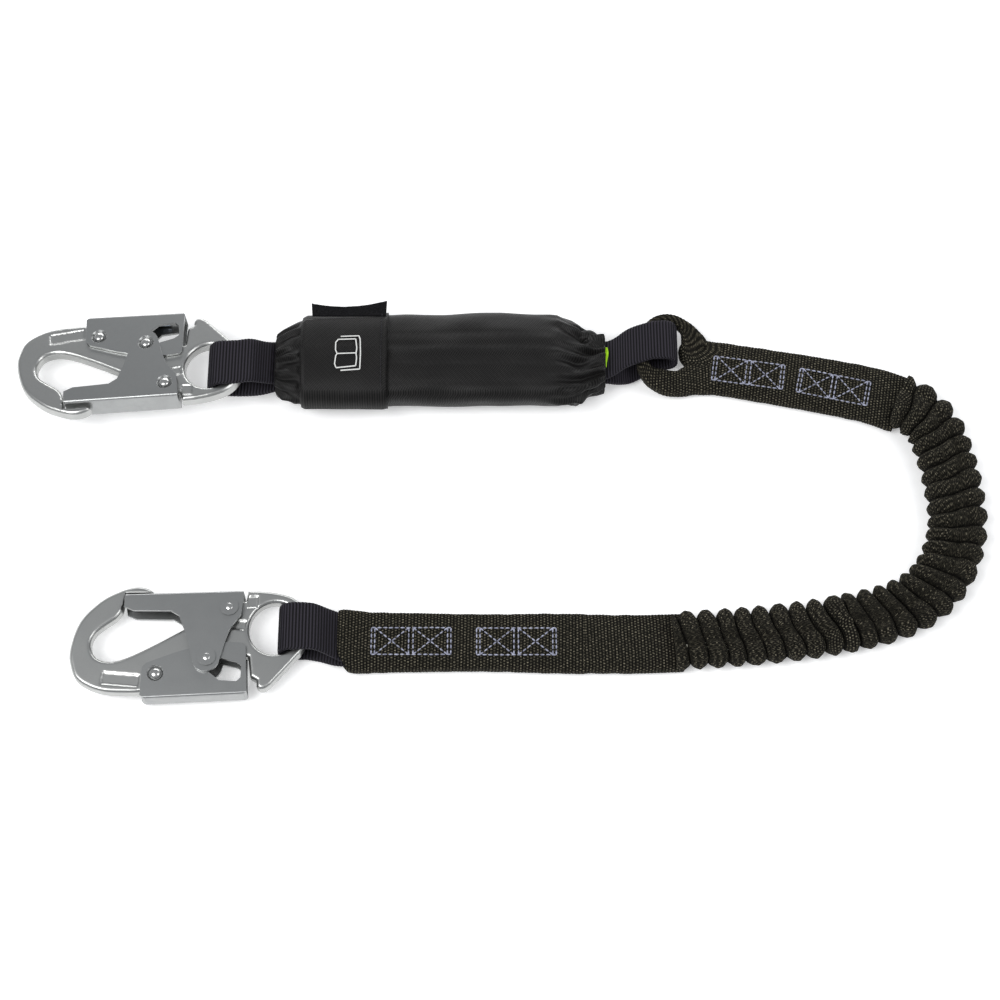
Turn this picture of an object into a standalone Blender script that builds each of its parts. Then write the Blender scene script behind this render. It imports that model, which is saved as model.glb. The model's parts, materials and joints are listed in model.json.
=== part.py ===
"""Shock absorbing lanyard: two double-locking snap hooks, an energy absorber pack and an elastic leg.

The lanyard lies flat. X runs along the pack, Y across it and Z up. Lengths below are in millimetres
and become metres when a point or a size is handed to Blender.
"""

import math

import bmesh
import bpy
from mathutils import Matrix, Vector

MM = 0.001
GAP = 0.3

# Middle of the whole lanyard in the layout's own coordinates, so that it ends up over the origin.
LAYOUT_SHIFT = Vector((-3.0, -0.15, 0.0))

WEBBING_WIDTH = 28.0
WEBBING_THICKNESS = 2.4

# Snap hook, measured from the centre of its eye. The eye end points along +X, the gate faces +Y.
FRAME_HALF = 4.0
FRAME_EDGE = 1.3
EYE_RADIUS = 14.6
GATE_PIVOT = (-25.9, 11.0)
LOCK_PIN = (-36.6, -19.2)
LEVER_PIVOT = (-64.6, -28.6)
GATE_HALF = 7.6
LEVER_HALF = 5.8
SHEET = 1.5
PIVOT_RADIUS = 2.4
HOLE_RADIUS = PIVOT_RADIUS + GAP
HEAD_RADIUS = 3.3
HEAD_HEIGHT = 0.8
WEB_TURN = 8.0
RIM_FROM_EYE = 17.0

HOOK_A_EYE = (-169.6, 78.6, 22.8)
HOOK_A_TURN = (-8.0, -3.0, 5.5)
HOOK_B_EYE = (-125.9, -80.7, 9.7)
HOOK_B_TURN = (0.0, 0.0, -1.0)

PACK_LEFT = -131.5
PACK_RIGHT = 61.5
PACK_Y = 88.0
PACK_Z = 16.0
COVER_WALL = 1.0
BAND_LEFT = -116.5
BAND_RIGHT = -66.0
BAND_WALL = 0.9
FLAP_WALL = 1.0
PAGES_THICKNESS = 0.8

LINK_AXIS = (93.0, 98.0, 10.0)
JACKET_WALL = 1.5
JACKET_HEIGHT = 9.0
GATHER_WIDTH = 32.0
GATHER_HEIGHT = 18.0
GATHER_WALL = 3.0
CORE_WIDTH = 18.0
CORE_HEIGHT = 5.0
THREAD = 0.9

# Middle line of each length of the leg on the floor, from the linked loops round to hook B.
UPPER_JACKET = [(122.6, 89.6), (140.0, 86.8), (177.0, 80.0), (207.0, 73.8), (222.0, 69.8),
                (233.2, 65.4)]
GATHER_ARC = [(236.0, 64.2), (240.8, 61.4), (247.6, 55.6), (254.0, 46.4), (258.2, 32.5),
              (261.0, 16.4), (262.6, 0.4), (262.6, -13.5), (260.2, -26.0), (256.0, -37.6),
              (249.8, -48.6), (240.6, -58.4), (228.6, -66.0), (213.9, -71.4), (196.8, -75.6)]
GATHER_RUN = [(194.8, -76.1), (176.9, -79.2), (157.1, -81.8), (134.5, -84.0), (112.0, -85.4),
              (99.2, -86.2)]
LOWER_END = [(96.8, -86.6), (76.0, -86.9), (50.4, -86.7)]
LOWER_SLEEVE = [(49.6, -86.7), (10.0, -86.2), (-40.0, -85.9), (-74.0, -85.9), (-91.0, -85.9)]


# ---------------------------------------------------------------- scene and materials

for old in list(bpy.data.objects):
    bpy.data.objects.remove(old, do_unlink=True)

PARTS = bpy.data.collections.new("shock_absorbing_lanyard")
CUTTERS = bpy.data.collections.new("cutters")
bpy.context.scene.collection.children.link(PARTS)
bpy.context.scene.collection.children.link(CUTTERS)


def material(name, colour, roughness, metallic=0.0):
    """A Principled material of one colour."""
    made = bpy.data.materials.new(name)
    made.use_nodes = True
    shader = made.node_tree.nodes["Principled BSDF"]
    shader.inputs["Base Color"].default_value = (*colour, 1.0)
    shader.inputs["Roughness"].default_value = roughness
    shader.inputs["Metallic"].default_value = metallic
    return made


ZINC = material("zinc_plated_steel", (0.62, 0.63, 0.63), 0.32, 1.0)
RIVET_STEEL = material("rivet_steel", (0.72, 0.72, 0.70), 0.22, 1.0)
SPRING_STEEL = material("spring_steel", (0.35, 0.36, 0.38), 0.3, 1.0)
WEBBING = material("black_webbing", (0.022, 0.021, 0.026), 0.55)
BALLISTIC = material("ballistic_nylon", (0.016, 0.015, 0.014), 0.6)
JACKET = material("tubular_jacket", (0.045, 0.040, 0.030), 0.85)
ELASTIC = material("elastic_core", (0.75, 0.72, 0.62), 0.8)
TEAR = material("tear_webbing", (0.70, 0.68, 0.60), 0.75)
FILM = material("shrink_film", (0.30, 0.31, 0.32), 0.25)
PAPER = material("label_pages", (0.82, 0.82, 0.80), 0.6)
TAG = material("inspection_tag", (0.42, 0.85, 0.02), 0.5)
STITCH = material("stitch_thread", (0.55, 0.57, 0.68), 0.6)
HOOK_LOOP = material("hook_and_loop", (0.010, 0.010, 0.011), 0.95)


def empty(name, place, turn=(0.0, 0.0, 0.0), parent=None):
    """An empty at a place in mm, turned by degrees about X, Y and Z."""
    made = bpy.data.objects.new(name, None)
    made.location = Vector(place) * MM
    made.rotation_euler = [math.radians(angle) for angle in turn]
    made.parent = parent
    PARTS.objects.link(made)
    return made


ROOT = empty("layout", LAYOUT_SHIFT * -1.0)


def finish_piece(obj, finish, parent=ROOT, collection=PARTS):
    """Puts an object in its collection, under its parent and with its material."""
    obj.data.materials.clear()
    obj.data.materials.append(finish)
    obj.parent = parent
    collection.objects.link(obj)
    if obj.type == "MESH":
        obj.data.shade_smooth()
        obj.data.set_sharp_from_angle(angle=math.radians(35))
    return obj


def mesh_object(name, bm):
    """A new mesh object from a bmesh whose points are in mm."""
    bmesh.ops.scale(bm, vec=(MM, MM, MM), verts=bm.verts)
    bmesh.ops.recalc_face_normals(bm, faces=bm.faces)
    mesh = bpy.data.meshes.new(name)
    bm.to_mesh(mesh)
    bm.free()
    return bpy.data.objects.new(name, mesh)


def cut(target, cutter):
    """Takes the cutter out of the target with an exact Boolean."""
    cutter.hide_render = True
    cutter.display_type = "WIRE"
    modifier = target.modifiers.new("cut " + cutter.name, "BOOLEAN")
    modifier.operation = "DIFFERENCE"
    modifier.object = cutter


def join(target, other):
    """Adds the other solid to the target with an exact Boolean."""
    other.hide_render = True
    other.display_type = "WIRE"
    modifier = target.modifiers.new("join " + other.name, "BOOLEAN")
    modifier.operation = "UNION"
    modifier.object = other


# ---------------------------------------------------------------- shape helpers


def smooth(points, steps):
    """Points along a Catmull-Rom curve through the given ones."""
    ends = [points[0], *points, points[-1]]
    found = []
    for a, b, c, d in zip(ends, ends[1:], ends[2:], ends[3:]):
        for step in range(steps):
            t = step / steps
            found.append(
                tuple(
                    0.5 * (2 * q + (r - p) * t + (2 * p - 5 * q + 4 * r - s) * t * t
                           + (3 * q - p - 3 * r + s) * t ** 3)
                    for p, q, r, s in zip(a, b, c, d)
                )
            )
    return [*found, tuple(points[-1])]


def arc(centre, radius, start, stop, steps):
    """Points on a circle from one angle to another, in degrees."""
    angles = [start + (stop - start) * step / steps for step in range(steps + 1)]
    return [
        (centre[0] + radius * math.cos(math.radians(a)), centre[1] + radius * math.sin(math.radians(a)))
        for a in angles
    ]


def plate(name, outlines, half, edge=0.0):
    """A flat solid between -half and half in Z: the first outline, less the others as holes."""
    curve = bpy.data.curves.new(name, "CURVE")
    curve.dimensions = "2D"
    curve.fill_mode = "BOTH"
    curve.extrude = (half - edge) * MM
    curve.bevel_depth = edge * MM
    curve.bevel_resolution = 0
    curve.offset = -edge * MM
    for outline in outlines:
        spline = curve.splines.new("POLY")
        spline.points.add(len(outline) - 1)
        for point, (x, y) in zip(spline.points, outline):
            point.co = (x * MM, y * MM, 0.0, 1.0)
        spline.use_cyclic_u = True
    maker = bpy.data.objects.new(name + "_outline", curve)
    bpy.context.scene.collection.objects.link(maker)
    graph = bpy.context.evaluated_depsgraph_get()
    mesh = bpy.data.meshes.new_from_object(maker.evaluated_get(graph))
    bm = bmesh.new()
    bm.from_mesh(mesh)
    bmesh.ops.remove_doubles(bm, verts=bm.verts, dist=0.00002)
    bmesh.ops.recalc_face_normals(bm, faces=bm.faces)
    bm.to_mesh(mesh)
    bm.free()
    bpy.data.objects.remove(maker)
    return bpy.data.objects.new(name, mesh)


def drum(name, centre, radius, low, high, sides=20):
    """An upright cylinder between two heights."""
    bm = bmesh.new()
    place = Matrix.Translation((centre[0], centre[1], (low + high) / 2))
    bmesh.ops.create_cone(
        bm, cap_ends=True, segments=sides, radius1=radius, radius2=radius, depth=high - low, matrix=place
    )
    return mesh_object(name, bm)


def ring_points(centre, side, up, half_width, half_height, power, angles):
    """Points of a superellipse section. Power 2 is an ellipse, more is boxier."""
    found = []
    for angle in angles:
        across = math.cos(angle)
        above = math.sin(angle)
        across = math.copysign(abs(across) ** (2 / power), across)
        above = math.copysign(abs(above) ** (2 / power), above)
        found.append(centre + side * half_width * across + up * half_height * above)
    return found


def loft(name, sections, sides=20, wall=0.0):
    """A tube through superellipse sections, each (centre, side, half width, half height, power).

    With a wall it is open at both ends, otherwise it is solid with flat ends.
    """
    bm = bmesh.new()
    angles = [2 * math.pi * (k + 0.5) / sides for k in range(sides)]
    rings = []
    for centre, side, half_width, half_height, power in sections:
        points = ring_points(
            Vector(centre), Vector(side), Vector((0, 0, 1)), half_width, half_height, power, angles
        )
        rings.append([bm.verts.new(point) for point in points])
    for near, far in zip(rings, rings[1:]):
        for k in range(sides):
            bm.faces.new((near[k], near[(k + 1) % sides], far[(k + 1) % sides], far[k]))
    if not wall:
        bm.faces.new(rings[0])
        bm.faces.new(reversed(rings[-1]))
    made = mesh_object(name, bm)
    if wall:
        add_wall(made, wall, offset=-1.0)
    return made


def add_wall(obj, thickness, offset):
    """Gives an open surface its thickness. Offset -1 thickens inwards, 0 both ways."""
    modifier = obj.modifiers.new("wall", "SOLIDIFY")
    modifier.thickness = thickness * MM
    modifier.offset = offset
    modifier.use_even_offset = True


def strap(name, path, width, thickness):
    """A flat band, its width along Y, that follows a path of (x, y, z)."""
    bm = bmesh.new()
    rows = []
    for x, y, z in path:
        rows.append([bm.verts.new((x, y + width * part, z)) for part in (-0.5, 0.5)])
    for near, far in zip(rows, rows[1:]):
        bm.faces.new((near[0], far[0], far[1], near[1]))
    made = mesh_object(name, bm)
    add_wall(made, thickness, offset=0.0)
    return made


def wire(name, points, radius):
    """A round wire with closed ends along the points, each (x, y, z)."""
    curve = bpy.data.curves.new(name, "CURVE")
    curve.dimensions = "3D"
    curve.bevel_depth = radius * MM
    curve.bevel_resolution = 1
    curve.use_fill_caps = True
    spline = curve.splines.new("POLY")
    spline.points.add(len(points) - 1)
    for point, place in zip(spline.points, points):
        point.co = (*(Vector(place) * MM), 1.0)
    return bpy.data.objects.new(name, curve)


def rivet(name, centre, shank_half):
    """A rivet along Z: a shank with a low domed head at each end, turned about its own axis."""
    top = shank_half + HEAD_HEIGHT
    profile = [
        (0.0, top),
        (HEAD_RADIUS * 0.6, top),
        (HEAD_RADIUS, shank_half + HEAD_HEIGHT * 0.4),
        (HEAD_RADIUS, shank_half),
        (PIVOT_RADIUS, shank_half),
    ]
    profile = [*profile, *[(x, -z) for x, z in reversed(profile)]]
    bm = bmesh.new()
    points = [bm.verts.new((x, 0.0, z)) for x, z in profile]
    for near, far in zip(points, points[1:]):
        bm.edges.new((near, far))
    bmesh.ops.scale(bm, vec=(MM, MM, MM), verts=bm.verts)
    mesh = bpy.data.meshes.new(name)
    bm.to_mesh(mesh)
    bm.free()
    made = bpy.data.objects.new(name, mesh)
    turned = made.modifiers.new("turn", "SCREW")
    turned.steps = 12
    turned.render_steps = 12
    turned.use_merge_vertices = True
    turned.merge_threshold = 0.00001
    made.location = (centre[0] * MM, centre[1] * MM, 0.0)
    return made


# ---------------------------------------------------------------- snap hooks


def frame_outline():
    """The forged frame's outer edge, from the nose round the bow, the spine and the eye to the mouth."""
    nose = smooth([(-69.5, 20.9), (-73.5, 23.3), (-79.5, 24.0), (-88.0, 21.4), (-99.0, 14.8),
                   (-109.5, 2.4), (-113.6, -14.0), (-112.4, -24.0), (-107.5, -33.0), (-94.0, -39.0),
                   (-76.0, -39.6)], 4)
    spine = [(-57.5, -37.4), (-45.5, -35.2), (-42.6, -32.6), (-41.6, -18.6), (-38.4, -15.6),
             (-24.0, -15.8), (-14.0, -17.4), (-12.2, -29.0)]
    wing = [(-8.6, -31.0), (-8.4, -34.4), (-6.6, -36.2), (-3.6, -36.0), (-0.6, -33.6)]
    rim = smooth([(14.8, -14.6), (19.6, -5.0), (20.4, 3.0), (17.0, 11.6), (10.0, 18.4), (1.2, 21.4),
                  (-9.0, 22.6)], 4)
    boss = [(-16.6, 22.4), (-17.0, 16.4), *arc(GATE_PIVOT, 6.2, 50, 150, 6)]
    mouth = smooth([(-44.0, 3.2), (-53.3, -2.8), (-68.0, -11.6), (-82.0, -18.9), (-91.0, -21.3),
                    (-98.5, -19.2), (-102.2, -12.4), (-100.8, -5.6), (-96.0, -0.6), (-89.4, 4.6),
                    (-86.4, 9.4)], 3)
    step = [(-86.0, 12.0), (-85.8, 19.6), (-72.0, 20.0)]
    return [*nose, *spine, *wing, *rim, *boss, *mouth, *step]


def eye_outline():
    """The eye is a little taller than it is wide."""
    return [(x, y * 1.06) for x, y in arc((0.0, 0.0), EYE_RADIUS, 0, 352.5, 47)]


def gate_outline():
    """One cheek of the gate, with the ear that carries the lock pin."""
    ear = smooth([(-53.6, 5.0), (-50.2, -3.0), (-46.4, -14.8), (-43.6, -23.6), (-40.6, -26.8),
                  (-36.6, -27.6), (-32.6, -26.2), (-29.8, -22.6), (-27.0, -10.0), (-24.4, -1.6)], 2)
    return [(-84.9, 17.9), (-84.9, 10.0), (-79.4, 7.8), (-58.6, 8.0), *ear, (-18.9, 6.4), (-18.2, 21.2)]


def lever_outline():
    """One cheek of the lock lever."""
    left = [(-70.0, -43.6), (-72.2, -41.6), (-72.2, -25.2), (-69.9, -22.6)]
    return [*left, (-53.3, -15.8), (-38.0, -11.0), (-24.8, -9.4), (-17.2, -9.8), (-15.4, -11.8),
            (-14.0, -33.4), (-13.4, -38.0), (-14.0, -39.8)]


def lever_slot():
    """The opening that the lock pin travels in, with the wide window past it."""
    return [(-40.0, -18.6), (-38.6, -16.0), (-34.6, -15.9), (-29.6, -19.0), (-20.0, -21.2),
            (-17.2, -23.2), (-17.2, -30.4), (-19.4, -32.6), (-29.0, -32.2), (-38.6, -24.4)]


def channel(name, outline, half, web_line):
    """A folded sheet channel: two cheeks joined by the web that lies past the line given."""
    made = plate(name, [outline], half)
    (x1, y1), (x2, y2), away = web_line
    inner = plate(name + "_channel_cutter",
                  [[(x1, y1), (x2, y2), (x2, y2 + away), (x1, y1 + away)]], half - SHEET)
    return made, inner


def build_frame(tag, parent):
    """The forged frame: bow, spine, eye and the boss that carries the gate."""
    name = f"hook_{tag}_frame"
    frame = plate(name, [frame_outline(), eye_outline()], FRAME_HALF, FRAME_EDGE)
    finish_piece(frame, ZINC, parent)
    boss = drum(name + "_boss", GATE_PIVOT, 5.6, -GATE_HALF + SHEET + GAP, -1.0)
    finish_piece(boss, ZINC, parent, CUTTERS)
    join(frame, boss)
    for label, centre in (("gate", GATE_PIVOT), ("lever", LEVER_PIVOT)):
        hole = drum(f"{name}_{label}_hole", centre, HOLE_RADIUS, -20, 20)
        finish_piece(hole, ZINC, parent, CUTTERS)
        cut(frame, hole)


def build_gate(tag, parent):
    """The gate, its lock pin and its return spring, about the gate's own pivot."""
    name = f"hook_{tag}_gate"
    gate, inner = channel(name, gate_outline(), GATE_HALF, ((-95.0, 16.2), (-5.0, 20.4), -70.0))
    finish_piece(gate, ZINC, parent)
    finish_piece(inner, ZINC, parent, CUTTERS)
    cut(gate, inner)
    for label, centre in (("pivot", GATE_PIVOT), ("pin", LOCK_PIN)):
        hole = drum(f"{name}_{label}_hole", centre, HOLE_RADIUS, -20, 20)
        finish_piece(hole, ZINC, parent, CUTTERS)
        cut(gate, hole)
    finish_piece(rivet(f"hook_{tag}_lock_pin", LOCK_PIN, GATE_HALF + GAP), RIVET_STEEL, parent)
    height = (FRAME_HALF + GATE_HALF - SHEET) / 2
    coil = [(x, y, height) for x, y in arc(GATE_PIVOT, 4.2, -200, 60, 14)]
    tails = [(-52.0, 12.6, height), (-34.0, 14.0, height)], [(-20.4, 16.4, height)]
    spring = wire(f"hook_{tag}_gate_spring", [*tails[0], *coil, *tails[1]], 0.6)
    finish_piece(spring, SPRING_STEEL, parent)


def build_lever(tag, parent):
    """The lock lever with its slot, and the leaf that pushes it back."""
    name = f"hook_{tag}_lock_lever"
    lever, inner = channel(name, lever_outline(), LEVER_HALF, ((-90.0, -43.3), (0.0, -36.9), 60.0))
    finish_piece(lever, ZINC, parent)
    finish_piece(inner, ZINC, parent, CUTTERS)
    cut(lever, inner)
    slot = plate(name + "_slot_cutter", [lever_slot()], 20.0)
    pivot = drum(name + "_pivot_hole", LEVER_PIVOT, HOLE_RADIUS, -20, 20)
    for cutter in (slot, pivot):
        finish_piece(cutter, ZINC, parent, CUTTERS)
        cut(lever, cutter)
    leaf = [(-58.0, -40.4), (-46.0, -38.9), (-34.0, -38.7), (-24.0, -38.0), (-24.0, -37.4),
            (-34.0, -38.1), (-46.0, -38.3), (-58.0, -39.8)]
    spring = plate(f"hook_{tag}_lever_spring", [leaf], 3.0)
    finish_piece(spring, SPRING_STEEL, parent)


def build_hook(tag, eye, turn, flipped):
    """One snap hook. A flipped hook shows its other side, with the gate towards -Y."""
    base = empty(f"hook_{tag}_place", eye, turn, ROOT)
    side = empty(f"hook_{tag}_side", (0, 0, 0), (180 if flipped else 0, 0, 0), base)
    build_frame(tag, side)
    finish_piece(rivet(f"hook_{tag}_gate_pivot", GATE_PIVOT, GATE_HALF + GAP), RIVET_STEEL, side)
    finish_piece(rivet(f"hook_{tag}_lever_pivot", LEVER_PIVOT, LEVER_HALF + GAP), RIVET_STEEL, side)
    moving = {}
    for label, centre in (("gate", GATE_PIVOT), ("lever", LEVER_PIVOT)):
        axis = empty(f"hook_{tag}_{label}_axis", (*centre, 0), (0, 0, 0), side)
        moving[label] = empty(f"hook_{tag}_{label}_back", (-centre[0], -centre[1], 0), (0, 0, 0), axis)
    build_gate(tag, moving["gate"])
    build_lever(tag, moving["lever"])
    empty(f"hook_{tag}_rim_axis", (RIM_FROM_EYE, 0, 0), (0, 0, 0), base)


# ---------------------------------------------------------------- webbing loops


def fold(centre_x, centre_z, radius, steps=10):
    """(x, z) points round the left end of a folded strap, from its top to its underside."""
    return arc((centre_x, centre_z), radius, 90, 270, steps)


def build_hook_a_loop():
    """Webbing through hook A's eye, its two legs closing together inside the pack."""
    top = smooth([(-98.0, 84.8, 18.7), (-128.0, 84.8, 18.7), (-136.6, 83.0, 22.6),
                  (-145.5, 80.4, 30.4), (-153.0, 78.8, 31.6)], 3)
    turn = [(x, 78.6, z) for x, z in fold(-161.5, 23.2, WEB_TURN)]
    under = smooth([(-153.0, 78.8, 14.8), (-140.0, 80.4, 13.6), (-124.0, 84.8, 13.2),
                    (-98.0, 84.8, 13.2)], 3)
    made = strap("hook_a_webbing_loop", [*top, *turn, *under], WEBBING_WIDTH, WEBBING_THICKNESS)
    finish_piece(made, WEBBING)


def build_hook_b_loop():
    """Webbing through hook B's eye, its two legs closing together inside the lower sleeve."""
    top = smooth([(-62.0, -85.9, 5.8), (-84.0, -85.0, 6.4), (-93.0, -83.0, 9.6), (-103.0, -81.2, 16.6),
                  (-109.0, -80.9, 17.8)], 3)
    turn = [(x, -80.9, z) for x, z in fold(-115.2, 9.7, WEB_TURN)]
    under = smooth([(-109.0, -81.2, 1.7), (-101.0, -83.0, 2.2), (-93.0, -85.6, 4.1), (-84.0, -85.8, 3.5),
                    (-62.0, -85.9, 3.3)], 3)
    made = strap("hook_b_webbing_loop", [*top, *turn, *under], WEBBING_WIDTH, WEBBING_THICKNESS - 0.2)
    finish_piece(made, WEBBING)


def build_link_loop():
    """Webbing that leaves the pack's right end and links through the jacket's own loop."""
    width = WEBBING_WIDTH - 3
    top = smooth([(28.0, 87.0, 18.0), (46.0, 87.0, 18.0), (63.0, 87.2, 18.0), (76.0, 95.0, 19.0),
                  (90.0, 100.4, 18.6)], 3)
    turn = [(x, 100.8, z) for x, z in arc((96.6, 10.9), 7.6, 90, -90, 10)]
    under = smooth([(88.0, 98.0, 3.3), (78.0, 92.0, 3.7), (71.0, 88.6, 8.6), (64.5, 87.0, 12.8),
                    (52.0, 87.0, 14.2), (28.0, 87.0, 14.2)], 3)
    made = strap("link_webbing_loop", [*top, *turn, *under], width, WEBBING_THICKNESS - 0.2)
    finish_piece(made, WEBBING)


# ---------------------------------------------------------------- energy absorber pack

SIDE_Y = (0.0, 1.0, 0.0)


def pack_sections(grow, left, right):
    """The cover's sections between two places along X, grown outwards by a clearance."""
    stations = [
        (PACK_LEFT, 84.8, 19.5, 9.6, 2.4),
        (-124.0, 85.6, 23.0, 11.6, 2.5),
        (-114.0, 87.2, 27.8, 13.9, 2.6),
        (-64.0, PACK_Y, 29.0, 14.0, 2.6),
        (0.0, PACK_Y + 0.6, 29.4, 14.2, 2.6),
        (34.0, PACK_Y + 0.6, 28.8, 14.0, 2.6),
        (46.0, PACK_Y - 0.2, 24.6, 12.6, 2.5),
        (53.0, PACK_Y - 1.0, 18.2, 11.0, 2.4),
        (PACK_RIGHT, PACK_Y - 1.0, 17.4, 10.4, 2.4),
    ]
    kept = [s for s in stations if left < s[0] < right]
    ends = [between(stations, left), between(stations, right)]
    chosen = [ends[0], *kept, ends[1]]
    return [((x, y, PACK_Z), SIDE_Y, w + grow, h + grow, p) for x, y, w, h, p in chosen]


def between(stations, x):
    """The section at x, read between its two neighbours."""
    for near, far in zip(stations, stations[1:]):
        if near[0] <= x <= far[0]:
            t = (x - near[0]) / (far[0] - near[0])
            return tuple(a + (b - a) * t for a, b in zip(near, far))
    raise ValueError(f"{x} is outside the stations")


def build_cover():
    """The pack's fabric cover, open at both gathered ends, with an elastic hem in each."""
    cover = loft("pack_cover", pack_sections(0.0, PACK_LEFT, PACK_RIGHT), 24, COVER_WALL)
    finish_piece(cover, BALLISTIC)
    for label, x, y, half_width, half_height in (
        ("left", PACK_LEFT + 3.0, 85.0, 18.6, 8.6),
        ("right", PACK_RIGHT - 3.0, PACK_Y - 1.0, 15.2, 8.2),
    ):
        points = []
        for k in range(23):
            angle = 2 * math.pi * (k + 0.5) / 24
            across = half_width * math.cos(angle)
            points.append((x, y + across, PACK_Z + half_height * math.sin(angle)))
        finish_piece(wire(f"pack_{label}_hem_elastic", points, 0.7), ELASTIC)


def folded_strap(name, left, right, low, layers, pitch, width, finish):
    """A strap folded back and forth in flat layers."""
    path = []
    for layer in range(layers):
        z = low + layer * pitch
        ends = (left, right) if layer % 2 == 0 else (right, left)
        path.append((ends[0], PACK_Y, z))
        path.append((ends[1], PACK_Y, z))
        if layer < layers - 1:
            sign = 1 if layer % 2 == 0 else -1
            for angle in (-60, -20, 20, 60):
                path.append((ends[1] + sign * pitch / 2 * math.cos(math.radians(angle)),
                             PACK_Y, z + pitch / 2 * (1 + math.sin(math.radians(angle)))))
    finish_piece(strap(name, path, width, WEBBING_THICKNESS - 0.4), finish)


def build_absorber():
    """Tear webbing and backup strap, folded and held in a shrink film sleeve."""
    folded_strap("energy_tear_webbing", -86.0, 16.0, PACK_Z - 2.4, 4, 2.7, 38.0, TEAR)
    folded_strap("backup_strap", -86.0, 16.0, PACK_Z - 8.0, 2, 2.7, 26.0, WEBBING)
    film = [((x, PACK_Y, PACK_Z - 0.4), SIDE_Y, 22.6, 10.4, 5.0) for x in (-91.0, 21.0)]
    finish_piece(loft("absorber_film_sleeve", film, 24, 0.5), FILM)


def wrap_strip(name, left, right, grow, first, last, wall, finish, parent):
    """A curved panel that follows the pack's section between two angles in degrees."""
    bm = bmesh.new()
    steps = 14
    angles = [math.radians(first + (last - first) * k / steps) for k in range(steps + 1)]
    rows = []
    for centre, side, half_width, half_height, power in pack_sections(grow, left, right):
        points = ring_points(
            Vector(centre), Vector(side), Vector((0, 0, 1)), half_width, half_height, power, angles
        )
        rows.append([bm.verts.new(point) for point in points])
    for near, far in zip(rows, rows[1:]):
        for k in range(steps):
            bm.faces.new((near[k], near[k + 1], far[k + 1], far[k]))
    made = mesh_object(name, bm)
    add_wall(made, wall, offset=1.0)
    return finish_piece(made, finish, parent)


def build_label():
    """The label wrap: a band round the pack, blank pages on it and a flap over them."""
    band_out = GAP + BAND_WALL
    band = loft("label_band", pack_sections(band_out, BAND_LEFT, BAND_RIGHT), 24, BAND_WALL)
    finish_piece(band, BALLISTIC)
    pages_in = band_out + GAP
    wrap_strip("label_pages", BAND_LEFT + 6, BAND_RIGHT - 6, pages_in, 60, 135, PAGES_THICKNESS,
               PAPER, ROOT)
    flap_in = pages_in + PAGES_THICKNESS + GAP
    hinge = empty("label_flap_hinge", ((BAND_LEFT + BAND_RIGHT) / 2, PACK_Y - 32.0, PACK_Z))
    hinge.parent = ROOT
    back = empty("label_flap_back", hinge.location * (-1 / MM), (0, 0, 0), hinge)
    wrap_strip("label_flap", BAND_LEFT + 0.5, BAND_RIGHT - 0.5, flap_in, 54, 180, FLAP_WALL,
               BALLISTIC, back)
    strip = [(-111.0, 114.6, 29.4), (-66.6, 114.6, 29.4)]
    bm = bmesh.new()
    middle = (Vector(strip[0]) + Vector(strip[1])) / 2
    size = Matrix.Diagonal((strip[1][0] - strip[0][0], 8.2, 1.6, 1.0))
    bmesh.ops.create_cube(bm, size=1.0, matrix=Matrix.Translation(middle) @ size)
    finish_piece(mesh_object("flap_fastener_strip", bm), HOOK_LOOP, back)


def build_tag():
    """The inspection tag that peeps out of the pack's right end."""
    bm = bmesh.new()
    place = Matrix.Translation((52.0, 87.4, 20.7)) @ Matrix.Diagonal((19.0, 13.0, 0.6, 1.0))
    bmesh.ops.create_cube(bm, size=1.0, matrix=place)
    finish_piece(mesh_object("inspection_tag", bm), TAG)


# ---------------------------------------------------------------- elastic leg


def along(points, half_widths, half_heights, power, lift=0.0):
    """Sections square to a path of (x, y) points that lies on the floor or a lift above it."""
    found = []
    last = len(points) - 1
    for k, (x, y) in enumerate(points):
        before, after = points[max(k - 1, 0)], points[min(k + 1, last)]
        way = Vector((after[0] - before[0], after[1] - before[1], 0.0)).normalized()
        side = (-way.y, way.x, 0.0)
        t = k / last
        width = half_widths[0] + (half_widths[1] - half_widths[0]) * t
        height = half_heights[0] + (half_heights[1] - half_heights[0]) * t
        found.append(((x, y, lift + height), side, width, height, power))
    return found




def build_upper_leg():
    """The jacket from the linked loops to the gathered arc, with the elastic core inside it."""
    flat = (JACKET_HEIGHT / 2, JACKET_HEIGHT / 2)
    jacket = along(UPPER_JACKET, (17.2, 18.6), flat, 5.0)
    finish_piece(loft("upper_jacket", jacket, 20, JACKET_WALL), JACKET)
    core_half = (CORE_WIDTH / 2, CORE_WIDTH / 2)
    core = along([*UPPER_JACKET[2:5], (230.6, 66.4)], core_half, (CORE_HEIGHT / 2,) * 2, 5.0, lift=2.0)
    finish_piece(loft("elastic_core_upper", core, 12), ELASTIC)
    gathered = along(GATHER_ARC, (GATHER_WIDTH / 2,) * 2, (GATHER_HEIGHT / 2,) * 2, 2.6)
    finish_piece(loft("gathered_jacket_arc", gathered, 16, GATHER_WALL), JACKET)
    lift = (GATHER_HEIGHT - CORE_HEIGHT) / 2
    core = along(GATHER_ARC, core_half, (CORE_HEIGHT / 2,) * 2, 5.0, lift=lift)
    finish_piece(loft("elastic_core_arc", core, 12), ELASTIC)


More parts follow.
